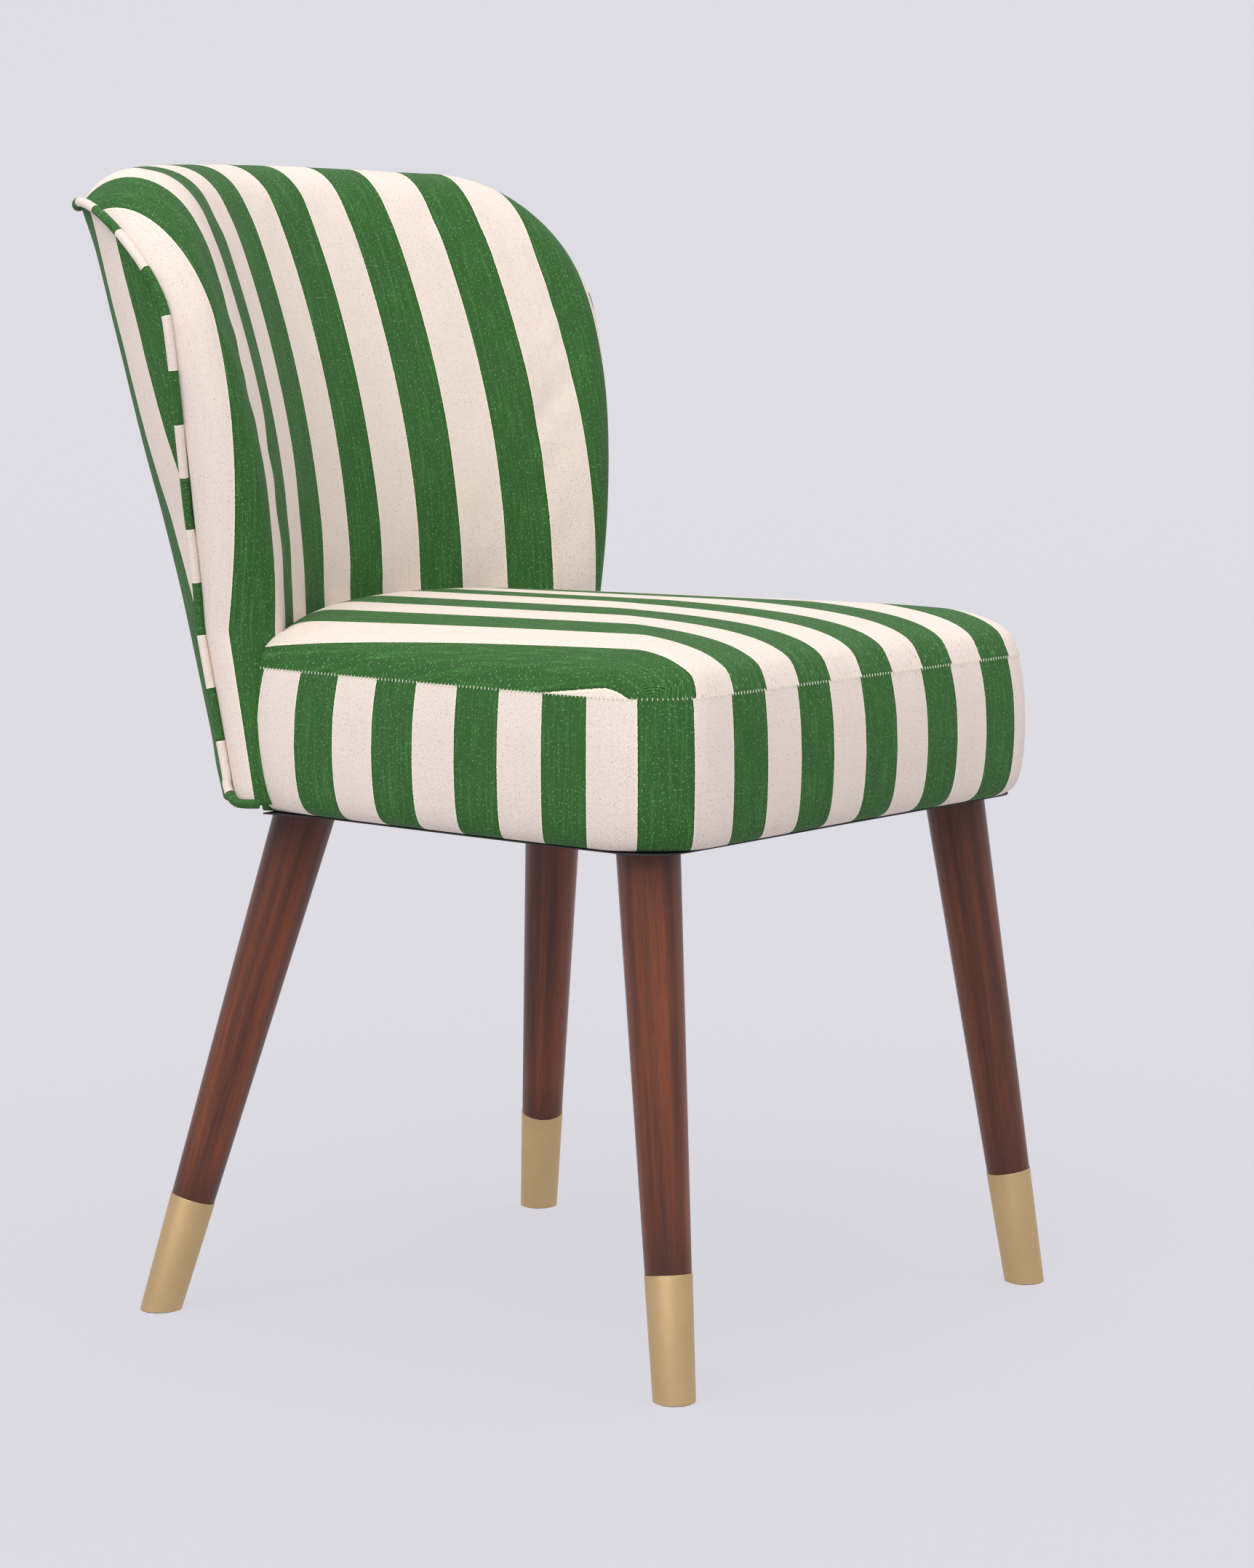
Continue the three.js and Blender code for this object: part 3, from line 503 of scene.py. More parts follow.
def section_curve(turn, reach):
    """A curve whose direction turns with the girth from the centre line."""
    girth = (np.arange(0, reach, GIRTH_STEP) + GIRTH_STEP / 2) / TURN_GIRTH
    angle = -(turn[0] * girth + turn[1] * girth ** 3)
    steps = np.column_stack([np.cos(angle), np.sin(angle)]) * GIRTH_STEP
    return np.vstack([[0, 0], np.cumsum(steps, axis=0)])


INNER_SECTION = section_curve(INNER_TURN, 0.32)
OUTER_SECTION = section_curve(OUTER_TURN, 0.33)


def on_section(curve, girth):
    place = np.abs(girth) / GIRTH_STEP
    count = np.arange(len(curve))
    return np.sign(girth) * np.interp(place, count, curve[:, 0]), np.interp(place, count, curve[:, 1])


def arched(x, y, z):
    drop = TOP_ARCH * (x / TURN_GIRTH) ** 2 * smooth(np.clip((z - LEVEL) / 0.2, 0, 1))
    return np.stack([x, y, z - drop], axis=-1)


def inner_point(girth, height):
    rise = np.maximum(height, WAIST) - LEVEL
    x, y = on_section(INNER_SECTION, girth)
    return arched(x, y + INNER_Y + INNER_LEAN * rise + INNER_SWEEP * rise ** 2, height)


def outer_point(girth, height):
    x, y = on_section(OUTER_SECTION, girth)
    return arched(x, y + OUTER_Y + OUTER_LEAN * (height - LEVEL), height)


def roll_start(height):
    return ROLL_START + ROLL_START_RISE * (np.maximum(height, WAIST) - LEVEL)


def side_girth(height):
    return np.minimum(SIDE_GIRTH + SIDE_GIRTH_RISE * (height - LEVEL), SIDE_GIRTH_MOST)


class BackShape:
    """The cover as a flat cloth, laid over the inner face and rolled over its edges."""

    def __init__(self, size):
        self.size = size
        self.shoulder_height = size.top_line - size.shoulder
        self.shoulder_girth = float(roll_start(self.shoulder_height)) - size.shoulder
        self.flat_seam = self.seam()

    def seam(self):
        """The piped seam on the flat cloth, from the bottom right, over the top, to the bottom left."""
        size = self.size
        heights = np.linspace(BACK_BOTTOM, self.shoulder_height, SIDE_STEPS)
        side = np.column_stack([roll_start(heights) + side_girth(heights), heights])
        share = np.linspace(0, 1, SHOULDER_STEPS)[1:]
        reach = (size.shoulder - SHOULDER_TUCK * np.sin(np.pi * share)
                 + side_girth(self.shoulder_height) * (1 - smooth(share)) + size.top_girth * smooth(share))
        angle = share * np.pi / 2
        round_corner = np.column_stack([self.shoulder_girth + reach * np.cos(angle),
                                        self.shoulder_height + reach * np.sin(angle)])
        half = np.vstack([side, round_corner])
        across = np.linspace(self.shoulder_girth, -self.shoulder_girth, TOP_STEPS)[1:-1]
        top = np.column_stack([across, np.full_like(across, size.top_line + size.top_girth)])
        return np.vstack([half, top, half[::-1] * [-1, 1]])

    def roll_at(self, s, h):
        """Where the roll starts nearest to a flat point, the way out of there, and how far."""
        size = self.size
        side, s = np.where(s < 0, -1.0, 1.0), np.abs(s)
        low = h <= self.shoulder_height
        top = ~low & (s <= self.shoulder_girth)
        out_s, out_h = s - self.shoulder_girth, h - self.shoulder_height
        reach = np.maximum(np.hypot(out_s, out_h), 1e-9)
        out_s, out_h = out_s / reach, out_h / reach
        start = roll_start(h)
        foot_s = np.where(low, start, np.where(top, s, self.shoulder_girth + size.shoulder * out_s))
        corner_h = self.shoulder_height + size.shoulder * out_h
        foot_h = np.where(low, h, np.where(top, size.top_line, corner_h))
        far = np.where(low, s - start, np.where(top, h - size.top_line, reach - size.shoulder))
        share = np.where(low, 0.0, np.where(top, 1.0, np.arctan2(out_h, out_s) / (np.pi / 2)))
        way_s = np.where(low, 1.0, np.where(top, 0.0, out_s))
        way_h = np.where(low, 0.0, np.where(top, 1.0, out_h))
        return side * foot_s, foot_h, side * way_s, way_h, far, np.clip(share, 0, 1)

    def cover_point(self, s, h):
        foot_s, foot_h, way_s, way_h, far, share = self.roll_at(s, h)
        start = inner_point(foot_s, foot_h)
        across = unit(inner_point(foot_s + 0.001, foot_h) - start)
        up = unit(inner_point(foot_s, foot_h + 0.001) - start)
        ahead = unit(across * way_s[..., None] + up * way_h[..., None])
        inward = unit(np.cross(up, across))
        radius = self.size.side_roll + (self.size.top_roll - self.size.side_roll) * smooth(share)
        angle = np.maximum(far, 0) / radius
        rolled = (start + ahead * (radius * np.sin(angle))[..., None]
                  + inward * (radius * (1 - np.cos(angle)))[..., None])
        rolled[..., 1] -= np.where(h < WAIST, TUCK * (WAIST - h) * np.clip(far / 0.06, 0, 1), 0)
        return np.where((far <= 0)[..., None], inner_point(s, h), rolled)

    def normal(self, point_at, s, h):
        step = 0.0008
        across = point_at(s + step, h) - point_at(s - step, h)
        up = point_at(s, h + step) - point_at(s, h - step)
        return unit(np.cross(across, up))


def outer_girth_of(points):
    """The girth of the nearest point on the outer face, at each point's own height."""
    girths = np.linspace(0, 0.32, 641)
    found = []
    for x, y, z in points:
        there = outer_point(girths, np.full_like(girths, z))
        nearest = girths[np.argmin(np.hypot(there[:, 0] - abs(x), there[:, 1] - y))]
        found.append(math.copysign(nearest, x))
    return np.array(found)


def split_seam(seam, columns, rows):
    """The seam as a top edge and two side edges, with the corners halfway round each shoulder."""
    corner = SIDE_STEPS + SHOULDER_STEPS // 2
    right = resample(seam[:corner + 1], rows)
    top = resample(seam[corner:len(seam) - corner], columns)[::-1]
    left = resample(seam[len(seam) - corner - 1:], rows)[::-1]
    bottom = resample([left[0], right[0]], columns)
    return bottom, top, left, right


# ------------------------------------------------------------------ shape of the seat
BORDER_PROFILE = ((0.3695, 0.034), (0.3695, 0.016), (0.372, 0.0095), (0.377, 0.006), (0.386, 0.003),
                  (0.400, 0.001), (0.420, 0.0), (0.445, 0.001), (0.462, 0.0035), (0.473, 0.006))
CROWN_REACH = 0.032              # how quickly the top panel rises inwards from its seam
CROWN_SHARPNESS = 0.55
REAR_DROP = 0.022                # how far the crown falls where it meets the back
REAR_REACH = 0.026
REAR_RISE = 0.012                # the border loses its bulge over this stretch of the rear edge
SIDE_DRAPE = 0.006               # extra cloth over the crown's steep edge
SEAT_CENTRE = np.array([0.0, -0.010])
FRONT_BOW = 0.002                # how far the front is bowed between its corners
SIDE_BOW = 0.005
REAR_GIRTH = 0.190               # half the rear edge, measured round the back's inner face
SEAT_SHIFT = 0.012               # where the middle stripe lies on the seat
SEAM_CREASE = 0.75
STITCH_REACH = 0.0011            # half a stitch's length
STITCH_PROUD = 0.0007
STITCH_RINGS = ((-1.0, 0.00012), (-0.5, 0.00034), (0.5, 0.00034), (1.0, 0.00012))
STITCH_SIDES = 6


def seat_edges(size, columns, rows):
    """The seat's outline at its widest: front, right side, back and left side, end to end."""
    x = np.linspace(0, size.half_width - size.corner, 12)
    front = np.column_stack([x, size.front + FRONT_BOW * (x / size.half_width) ** 2])
    corner_y = front[-1, 1] + size.corner
    angle = np.linspace(-np.pi / 2, 0, 13)[1:]
    corner = np.column_stack([size.half_width - size.corner + size.corner * np.cos(angle),
                              corner_y + size.corner * np.sin(angle)])
    share = np.linspace(0, 1, 30)[1:]
    y = corner_y + (size.side_end_y - corner_y) * share
    slope = (size.half_width - size.side_end_x) / (size.side_end_y - size.front)
    bow = SIDE_BOW * np.sin(np.pi * share)
    side = np.column_stack([size.half_width - slope * (y - corner_y) + bow, y])
    girths = np.linspace(REAR_GIRTH, 0, 24)
    back = inner_point(girths, np.full_like(girths, WAIST))[:, :2] + [0, 0.0005]
    front_half = np.vstack([front, corner[:6]])
    right = resample(np.vstack([corner[5:], side]), rows)
    back_half = np.vstack([side[-1:], back])
    front_edge = resample(np.vstack([front_half[1:][::-1] * [-1, 1], front_half]), columns)
    back_edge = resample(np.vstack([back_half, back_half[:-1][::-1] * [-1, 1]]), columns)
    left = (right * [-1, 1])[::-1]
    return front_edge, right, back_edge, left


def drawn_in(plan, inset):
    away = plan - SEAT_CENTRE
    return SEAT_CENTRE + away * (1 - inset / np.linalg.norm(away, axis=-1, keepdims=True))


def profile_rows(profile, step):
    """Even points along a smooth curve through a profile's (height, inset) pairs."""
    fine = resample(profile, 200)
    for _ in range(40):
        fine[1:-1] = (fine[:-2] + 2 * fine[1:-1] + fine[2:]) / 4
    return resample(fine, max(3, int(path_length(fine)[-1] / step)))


# ------------------------------------------------------------------ camera, floor and light
class CHAIR_OT_stage(bpy.types.Operator):
    """Make the camera, the floor with its backdrop, and the soft lights"""
    bl_idname = "chair.stage"
    bl_label = "Stage"

    def execute(self, context):
        size = context.scene.chair_stage
        camera = bpy.data.objects.new("camera", bpy.data.cameras.new("camera"))
        context.scene.collection.objects.link(camera)
        camera.location = Vector(size.camera_place) + Vector((0, FEET_Y, 0))
        heading, dip = size.camera_heading, size.camera_dip
        level = math.cos(dip)
        look = Vector((math.sin(heading) * level, math.cos(heading) * level, -math.sin(dip)))
        camera.rotation_mode = "QUATERNION"
        camera.rotation_quaternion = look.to_track_quat("-Z", "Y")
        camera.data.lens = size.lens
        camera.data.clip_end = 60
        context.scene.camera = camera
        self.make_floor(size)
        self.make_lights(context)
        context.scene.view_settings.view_transform = "Standard"
        return {"FINISHED"}

    def make_floor(self, size):
        """A round floor whose rim curves up into a backdrop on all sides."""
        deselect()
        bpy.ops.mesh.primitive_circle_add(vertices=96, radius=size.floor_radius, fill_type="NGON")
        floor = bpy.context.active_object
        floor.name = "floor"
        bpy.ops.object.mode_set(mode="EDIT")
        bpy.ops.mesh.select_all(action="SELECT")
        steps = 12
        for k in range(steps):
            angle = (k + 0.5) / steps * math.pi / 2
            rise = size.wall_height * math.pi / 2 / steps
            climb = (0, 0, rise * math.sin(angle))
            bpy.ops.mesh.extrude_region_move(TRANSFORM_OT_translate={"value": climb})
            grow = 1 + rise * math.cos(angle) / (size.floor_radius + k * rise * 0.7)
            bpy.ops.transform.resize(value=(grow, grow, 1))
        bpy.ops.mesh.delete(type="ONLY_FACE")
        bpy.ops.object.mode_set(mode="OBJECT")
        bpy.ops.object.shade_smooth()
        nodes = Nodes("studio floor")
        glow = nodes.add("ShaderNodeEmission", {"Color": (*size.backdrop, 1), "Strength": 0.93})
        matte = nodes.add("ShaderNodeBsdfDiffuse", {"Color": (*size.backdrop, 1)})
        both = nodes.add("ShaderNodeMixShader", {0: 0.10, 1: glow.outputs[0], 2: matte.outputs[0]})
        output = next(node for node in nodes.tree.nodes if node.type == "OUTPUT_MATERIAL")
        nodes.feed(output.inputs["Surface"], both.outputs[0])
        floor.data.materials.append(nodes.material)

    def make_lights(self, context):
        world = bpy.data.worlds.new("studio")
        context.scene.world = world
        world.use_nodes = True
        background = world.node_tree.nodes["Background"]
        background.inputs[0].default_value = (0.99, 0.985, 1.0, 1)
        background.inputs[1].default_value = 0.75
        for name, place, energy, spread in (
                ("key", (-3.4, -0.6, 3.0), 1.9, 55),
                ("fill", (-0.6, -3.6, 2.2), 0.7, 80),
                ("top", (0.6, 0.4, 4.0), 0.9, 80)):
            light = bpy.data.lights.new(name, "SUN")
            light.energy = energy
            light.angle = math.radians(spread)
            lamp = bpy.data.objects.new(name, light)
            context.scene.collection.objects.link(lamp)
            lamp.location = place
            lamp.rotation_mode = "QUATERNION"
            lamp.rotation_quaternion = (-Vector(place)).to_track_quat("-Z", "Y")


# ------------------------------------------------------------------ legs
FERRULE_GAP = 0.0003             # between the ferrule's end and the wood's shoulder
TENON = 0.07                     # how far the wood runs down inside the ferrule
TENON_GAP = 0.0004
SPARE_ABOVE = 0.42               # legs and ferrules are made too long, then cut level
SPARE_BELOW = -0.012
LIP = 0.0004                     # rounding of the ferrule's edges


def leg_frame(corner):
    """The leg's foot on the floor, and the turn and place that stand an upright leg there."""
    foot = middle_of(f"glide_{corner}")
    foot.z = 0
    leg = frame["nodes"][f"leg_{corner}"]
    top_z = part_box(leg.name)[1].z
    rim = {tuple(round(c, 6) for c in v.co) for v in leg.data.vertices if v.co.z > top_z - 0.0001}
    top = sum((Vector(point) for point in sorted(rim)), Vector()) / len(rim)
    axis = (top - foot).normalized()
    turn = Vector((0, 0, 1)).rotation_difference(axis)
    return Matrix.Translation(foot) @ turn.to_matrix().to_4x4(), top_z


def stand(piece, matrix):
    """Moves an upright piece to its leg's place and keeps that place in its mesh."""
    choose(piece)
    piece.matrix_world = matrix
    bpy.ops.object.transform_apply(location=True, rotation=True, scale=True)


def cut_level(piece, height, clear_above):
    choose(piece)
    bpy.ops.object.mode_set(mode="EDIT")
    bpy.ops.mesh.select_all(action="SELECT")
    bpy.ops.mesh.bisect(plane_co=(0, 0, height), plane_no=(0, 0, 1), use_fill=True,
                        clear_outer=clear_above, clear_inner=not clear_above)
    bpy.ops.object.mode_set(mode="OBJECT")


def keep_grain(piece, matrix, apart=Vector()):
    """Stores where each point lies along and round its own leg. Legs set apart have their own grain."""
    back = matrix.inverted()
    attribute = piece.data.attributes.new("grain", "FLOAT_VECTOR", "POINT")
    for vertex, item in zip(piece.data.vertices, attribute.data):
        item.vector = back @ vertex.co + apart


def tapered(name, size, low, high, proud, fill):
    """An upright tapered round body between two lengths along the leg."""
    rate = (size.top_radius - size.foot_radius) / size.top_level
    deselect()
    bpy.ops.mesh.primitive_cone_add(
        vertices=size.sides, radius1=size.foot_radius + rate * low + proud,
        radius2=size.foot_radius + rate * high + proud, depth=high - low,
        end_fill_type=fill, location=(0, 0, (low + high) / 2))
    piece = bpy.context.active_object
    piece.name = name
    bpy.ops.object.transform_apply(location=True, rotation=True, scale=True)
    return piece


class CHAIR_OT_legs(bpy.types.Operator):
    """Turn the four tapered wooden legs"""
    bl_idname = "chair.legs"
    bl_label = "Legs"

    def execute(self, context):
        size = context.scene.chair_legs
        wood = polished_wood()
        for number, corner in enumerate(CORNERS):
            matrix, top_z = leg_frame(corner)
            node = f"leg_{corner}"
            low = size.ferrule_length + FERRULE_GAP
            leg = tapered(f"{node}_turned", size, low, SPARE_ABOVE, 0, "NGON")
            self.add_tenon(leg, size, low)
            stand(leg, matrix)
            cut_level(leg, top_z, clear_above=True)
            keep_grain(leg, matrix, Vector((0.3 * number, -0.2 * number, 0)))
            choose(leg)
            bpy.ops.object.shade_smooth_by_angle(angle=math.radians(35))
            seat_on_frame(leg, [node], wood)
        return {"FINISHED"}

    def add_tenon(self, leg, size, low):
        """Steps the wood in at the ferrule and runs it down inside."""
        bpy.ops.object.mode_set(mode="EDIT")
        bpy.ops.mesh.select_all(action="DESELECT")
        bpy.ops.object.mode_set(mode="OBJECT")
        for face in leg.data.polygons:
            face.select = face.center.z < low + 0.0001
        bpy.ops.object.mode_set(mode="EDIT")
        bpy.ops.mesh.select_mode(type="FACE")
        bpy.ops.mesh.inset(thickness=size.ferrule_wall + TENON_GAP)
        bpy.ops.mesh.extrude_region_move(TRANSFORM_OT_translate={"value": (0, 0, -TENON)})
        bpy.ops.transform.resize(value=(0.9, 0.9, 1))
        bpy.ops.object.mode_set(mode="OBJECT")


class CHAIR_OT_ferrules(bpy.types.Operator):
    """Make the four thin-walled ferrules"""
    bl_idname = "chair.ferrules"
    bl_label = "Ferrules"

    def execute(self, context):
        size = context.scene.chair_legs
        brass = satin_metal("satin brass", context.scene.chair_wood.brass, 0.40, "grain")
        for corner in CORNERS:
            matrix, _ = leg_frame(corner)
            node = f"ferrule_{corner}"
            ferrule = tapered(f"{node}_sleeve", size, SPARE_BELOW, size.ferrule_length,
                              size.ferrule_proud, "NOTHING")
            self.add_wall(ferrule, size)
            stand(ferrule, matrix)
            cut_level(ferrule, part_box(node)[0].z, clear_above=False)
            keep_grain(ferrule, matrix)
            choose(ferrule)
            bpy.ops.object.shade_smooth_by_angle(angle=math.radians(35))
            seat_on_frame(ferrule, [node], brass)
        return {"FINISHED"}

    def add_wall(self, ferrule, size):
        wall = ferrule.modifiers.new("wall", "SOLIDIFY")
        wall.thickness = size.ferrule_wall
        wall.offset = -1
        apply_modifier(ferrule, wall)
        lip = ferrule.modifiers.new("lip", "BEVEL")
        lip.width = LIP
        lip.segments = 3
        lip.limit_method = "ANGLE"
        lip.angle_limit = math.radians(60)
        apply_modifier(ferrule, lip)


# ------------------------------------------------------------------ seat
class CHAIR_OT_seat(bpy.types.Operator):
    """Sew the seat's top panel to its border strip and stuff the cushion"""
    bl_idname = "chair.seat"
    bl_label = "Seat cushion"

    def execute(self, context):
        size = context.scene.chair_seat
        columns = int(2 * size.half_width / size.mesh_step)
        rows = int((size.side_end_y - size.front) / size.mesh_step)
        edges = seat_edges(size, columns, rows)
        plan = np.vstack([edge[:-1] for edge in edges])
        rear = self.rear_share(plan, columns, rows)
        border = self.border_rings(plan, rear, size)
        seam = border[-1]
        top, top_uv = self.top_panel(seam, rear, columns, rows, size)
        cushion = self.body(border, top, top_uv, columns, rows)
        seam_start = (len(border) - 1) * len(plan)
        inflate(cushion, self.held_points(border, size), 3.0, size.puff)
        self.sharpen_seam(cushion, seam_start, seam_start + len(plan))
        smoother = cushion.modifiers.new("smooth", "SUBSURF")
        smoother.levels = 1
        smoother.render_levels = 1
        apply_modifier(cushion, smoother)
        self.close_bottom(cushion)
        look = context.scene.chair_fabric
        cloth = striped_cloth("seat stripes", look.seat_stripe, SEAT_SHIFT)
        seat_on_frame(cushion,
                      ["seat_top_panel", "seat_border", "seat_foam", "seat_border_wadding"], cloth)
        self.stitch(seam, seam + [0, 0, 0.002], border[-2], size)
        return {"FINISHED"}

    def rear_share(self, plan, columns, rows):
        """1 along the hidden rear edge, 0 along the front and the sides, smooth between."""
        first = columns + rows - 2
        last = first + columns - 1
        along = path_length(np.vstack([plan, plan[:1]]))[:-1]
        inside = np.minimum(along - along[first], along[last] - along) / REAR_RISE
        return smooth(np.clip(inside, 0, 1))

    def border_rings(self, plan, rear, size):
        """Rings up the border strip, level except along the back, where they climb to the crown."""
        rings = []
        seam = drawn_in(plan, BORDER_PROFILE[-1][1] * (1 - rear[:, None]))
        top_rise = self.crown_height(seam, *self.open_and_hidden(seam, rear), size) - SEAT_BOTTOM
        for z, inset in profile_rows(BORDER_PROFILE, size.mesh_step):
            pull = inset * (1 - rear)
            share = (z - SEAT_BOTTOM) / (SEAT_SEAM - SEAT_BOTTOM)
            rings.append(np.column_stack([drawn_in(plan, pull[:, None]), SEAT_BOTTOM + share * top_rise]))
        return rings

    def open_and_hidden(self, seam, rear):
        """The part of the seam that shows, and the part along the back."""
        return seam[rear == 0], seam[rear > 0.99]

    def crown_height(self, places, shown, hidden, size):
        """The crown falls steeply to the seam at the edges that show, and less at the back."""
        def fall(line, depth, reach, sharpness):
            gap = np.linalg.norm(places[..., None, :2] - line[:, :2], axis=-1).min(axis=-1)
            return depth * np.exp(-(gap / reach) ** sharpness)

        edge = fall(shown, size.crown - SEAT_SEAM, CROWN_REACH, CROWN_SHARPNESS)
        rear = fall(hidden, REAR_DROP, REAR_REACH, 1.0)
        return size.crown - (edge ** 5 + rear ** 5) ** 0.2

    def top_panel(self, seam, rear, columns, rows, size):
        """The crowned panel inside the seam, and its cloth coordinates."""
        loop = np.vstack([seam, seam[:1]])
        starts = np.cumsum([0, columns - 1, rows - 1, columns - 1, rows - 1])
        front, right, back, left = (loop[a:b + 1] for a, b in zip(starts[:-1], starts[1:]))
        panel = coons(front, back[::-1], left[::-1], right)
        visible = np.vstack([left, front, right])[:, :2]
        gap = panel[:, :, None, :2] - visible[None, None]
        distance = np.linalg.norm(gap, axis=-1)
        nearest = np.argmin(distance, axis=-1)[..., None]
        reach = np.take_along_axis(distance, nearest, axis=-1)[..., 0]
        across = np.abs(np.take_along_axis(gap[..., 0], nearest, axis=-1)[..., 0])
        shown, hidden = self.open_and_hidden(seam, rear)
        panel[1:-1, 1:-1, 2] = self.crown_height(panel[..., :2], shown, hidden, size)[1:-1, 1:-1]
        sideways = across / np.maximum(reach, 1e-6)
        sideways[:, [0, -1]] = 1
        drape = SIDE_DRAPE * np.exp(-reach / (2 * SIDE_DRAPE)) * sideways
        drape[0] = 0
        uv = np.stack([panel[..., 0] + np.sign(panel[..., 0]) * drape, panel[..., 1]], axis=-1)
        return panel, uv

    def body(self, border, top, top_uv, columns, rows):
        """One mesh of the border's rings and the panel's inside, which share the seam's points."""
        count = len(border[0])
        seam_start = (len(border) - 1) * count
        loop = np.vstack([border[-1], border[-1][:1]])
        along = path_length(loop)
        girth = along[:-1] - along[(columns - 1) // 2]
        step = np.diff(along)
        girth[columns + rows - 2 + columns // 2:] -= along[-1]
        points = [*border]
        faces, corners = [], []
        for k in range(len(border) - 1):
            for i in range(count):
                j = (i + 1) % count
                faces.append([k * count + i, k * count + j, (k + 1) * count + j, (k + 1) * count + i])
                low, high = border[k][i, 2], border[k + 1][i, 2]
                start, end = girth[i], girth[i] + step[i]
                corners += [(start, low), (end, low), (end, high), (start, high)]
        index = np.full((rows, columns), -1)
        index[0] = np.arange(columns)
        index[:, -1] = columns - 1 + np.arange(rows)
        index[-1] = (columns + rows - 2 + np.arange(columns))[::-1]
        index[:, 0] = ((2 * columns + rows - 3 + np.arange(rows)) % count)[::-1]
        index += seam_start
        inner = np.arange((rows - 2) * (columns - 2)).reshape(rows - 2, columns - 2)
        index[1:-1, 1:-1] = inner + seam_start + count
        points.append(top[1:-1, 1:-1].reshape(-1, 3))
        for k in range(rows - 1):
            for i in range(columns - 1):
                around = ((k, i), (k, i + 1), (k + 1, i + 1), (k + 1, i))
                faces.append([int(index[place]) for place in around])
                corners += [tuple(top_uv[place]) for place in around]
        return mesh_piece("seat_cushion", placed(np.vstack(points)), faces, corners)

    def held_points(self, border, size):
        """The bottom edge, the seam and the border's part behind the back stay where they are."""
        points = np.vstack(border)
        held = (points[:, 2] < SEAT_BOTTOM + 0.003) | (points[:, 1] > size.side_end_y - 0.006)
        held[-len(border[-1]):] = True
        return np.flatnonzero(held)

    def sharpen_seam(self, cushion, first, last):
        attribute = cushion.data.attributes.new("crease_edge", "FLOAT", "EDGE")
        for edge, item in zip(cushion.data.edges, attribute.data):
            on_seam = all(first <= index < last for index in edge.vertices)
            item.value = SEAM_CREASE if on_seam else 0.0

    def close_bottom(self, cushion):
        """Closes the opening under the cushion, which the frame and the lining hide."""
        choose(cushion)
        bpy.ops.object.mode_set(mode="EDIT")
        bpy.ops.mesh.select_all(action="DESELECT")
        bpy.ops.mesh.select_mode(type="EDGE")
        bpy.ops.mesh.select_non_manifold()
        bpy.ops.mesh.edge_face_add()
        bpy.ops.object.mode_set(mode="OBJECT")

    def stitch(self, seam, above, below, size):
        """Short stitches that cross the seam along the front and both sides."""
        loop = np.vstack([seam, seam[:1]])
        along = path_length(loop)
        outward = unit(np.cross(np.roll(seam, -1, axis=0) - seam, above - below))
        count = int(along[-1] / size.stitch_pitch)
        rng = random.Random(7)
        points, faces = [], []
        for number in range(count):
            place = along[-1] * number / count
            k = min(int(np.searchsorted(along, place, side="right")) - 1, len(seam) - 1)
            share = (place - along[k]) / (along[k + 1] - along[k])
            middle = loop[k] + (loop[k + 1] - loop[k]) * share
            if middle[1] > size.side_end_y - 0.004:
                continue
            forward = unit(loop[k + 1] - loop[k])
            normal = outward[k]
            across = np.cross(normal, forward)
            lean = rng.uniform(-0.25, 0.25)
            reach = STITCH_REACH * rng.uniform(0.8, 1.2)
            way = unit(across + forward * lean)
            base = len(points)
            for end, thick in STITCH_RINGS:
                for turn in range(STITCH_SIDES):
                    angle = turn * 2 * math.pi / STITCH_SIDES
                    points.append(middle + normal * STITCH_PROUD + way * end * reach
                                  + (forward * math.cos(angle) + normal * math.sin(angle)) * thick)
            for ring in range(len(STITCH_RINGS) - 1):
                low = base + ring * STITCH_SIDES
                for turn in range(STITCH_SIDES):
                    a, b = low + turn, low + (turn + 1) % STITCH_SIDES
                    faces.append([a, b, b + STITCH_SIDES, a + STITCH_SIDES])
            last = base + (len(STITCH_RINGS) - 1) * STITCH_SIDES
            faces.append([base + turn for turn in reversed(range(STITCH_SIDES))])
            faces.append([last + turn for turn in range(STITCH_SIDES)])
        corners = [(0.0, 0.0)] * sum(len(face) for face in faces)
        stitches = mesh_piece("seat_stitches", placed(points), faces, corners)
        nodes = Nodes("stitch thread")
        place = nodes.add("ShaderNodeTexCoord").outputs["Object"]
        twist = nodes.noise(nodes.scaled(place, (4000, 4000, 4000)), 1.0, 2.0, 0.5)
        thread = nodes.finish(nodes.mix(twist, (0.55, 0.58, 0.44, 1), (0.78, 0.78, 0.66, 1)),
                              nodes.math("MULTIPLY_ADD", twist, 0.2, 0.6), twist, 0.0001)
        stitches.data.materials.append(thread)
        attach(stitches, "root")


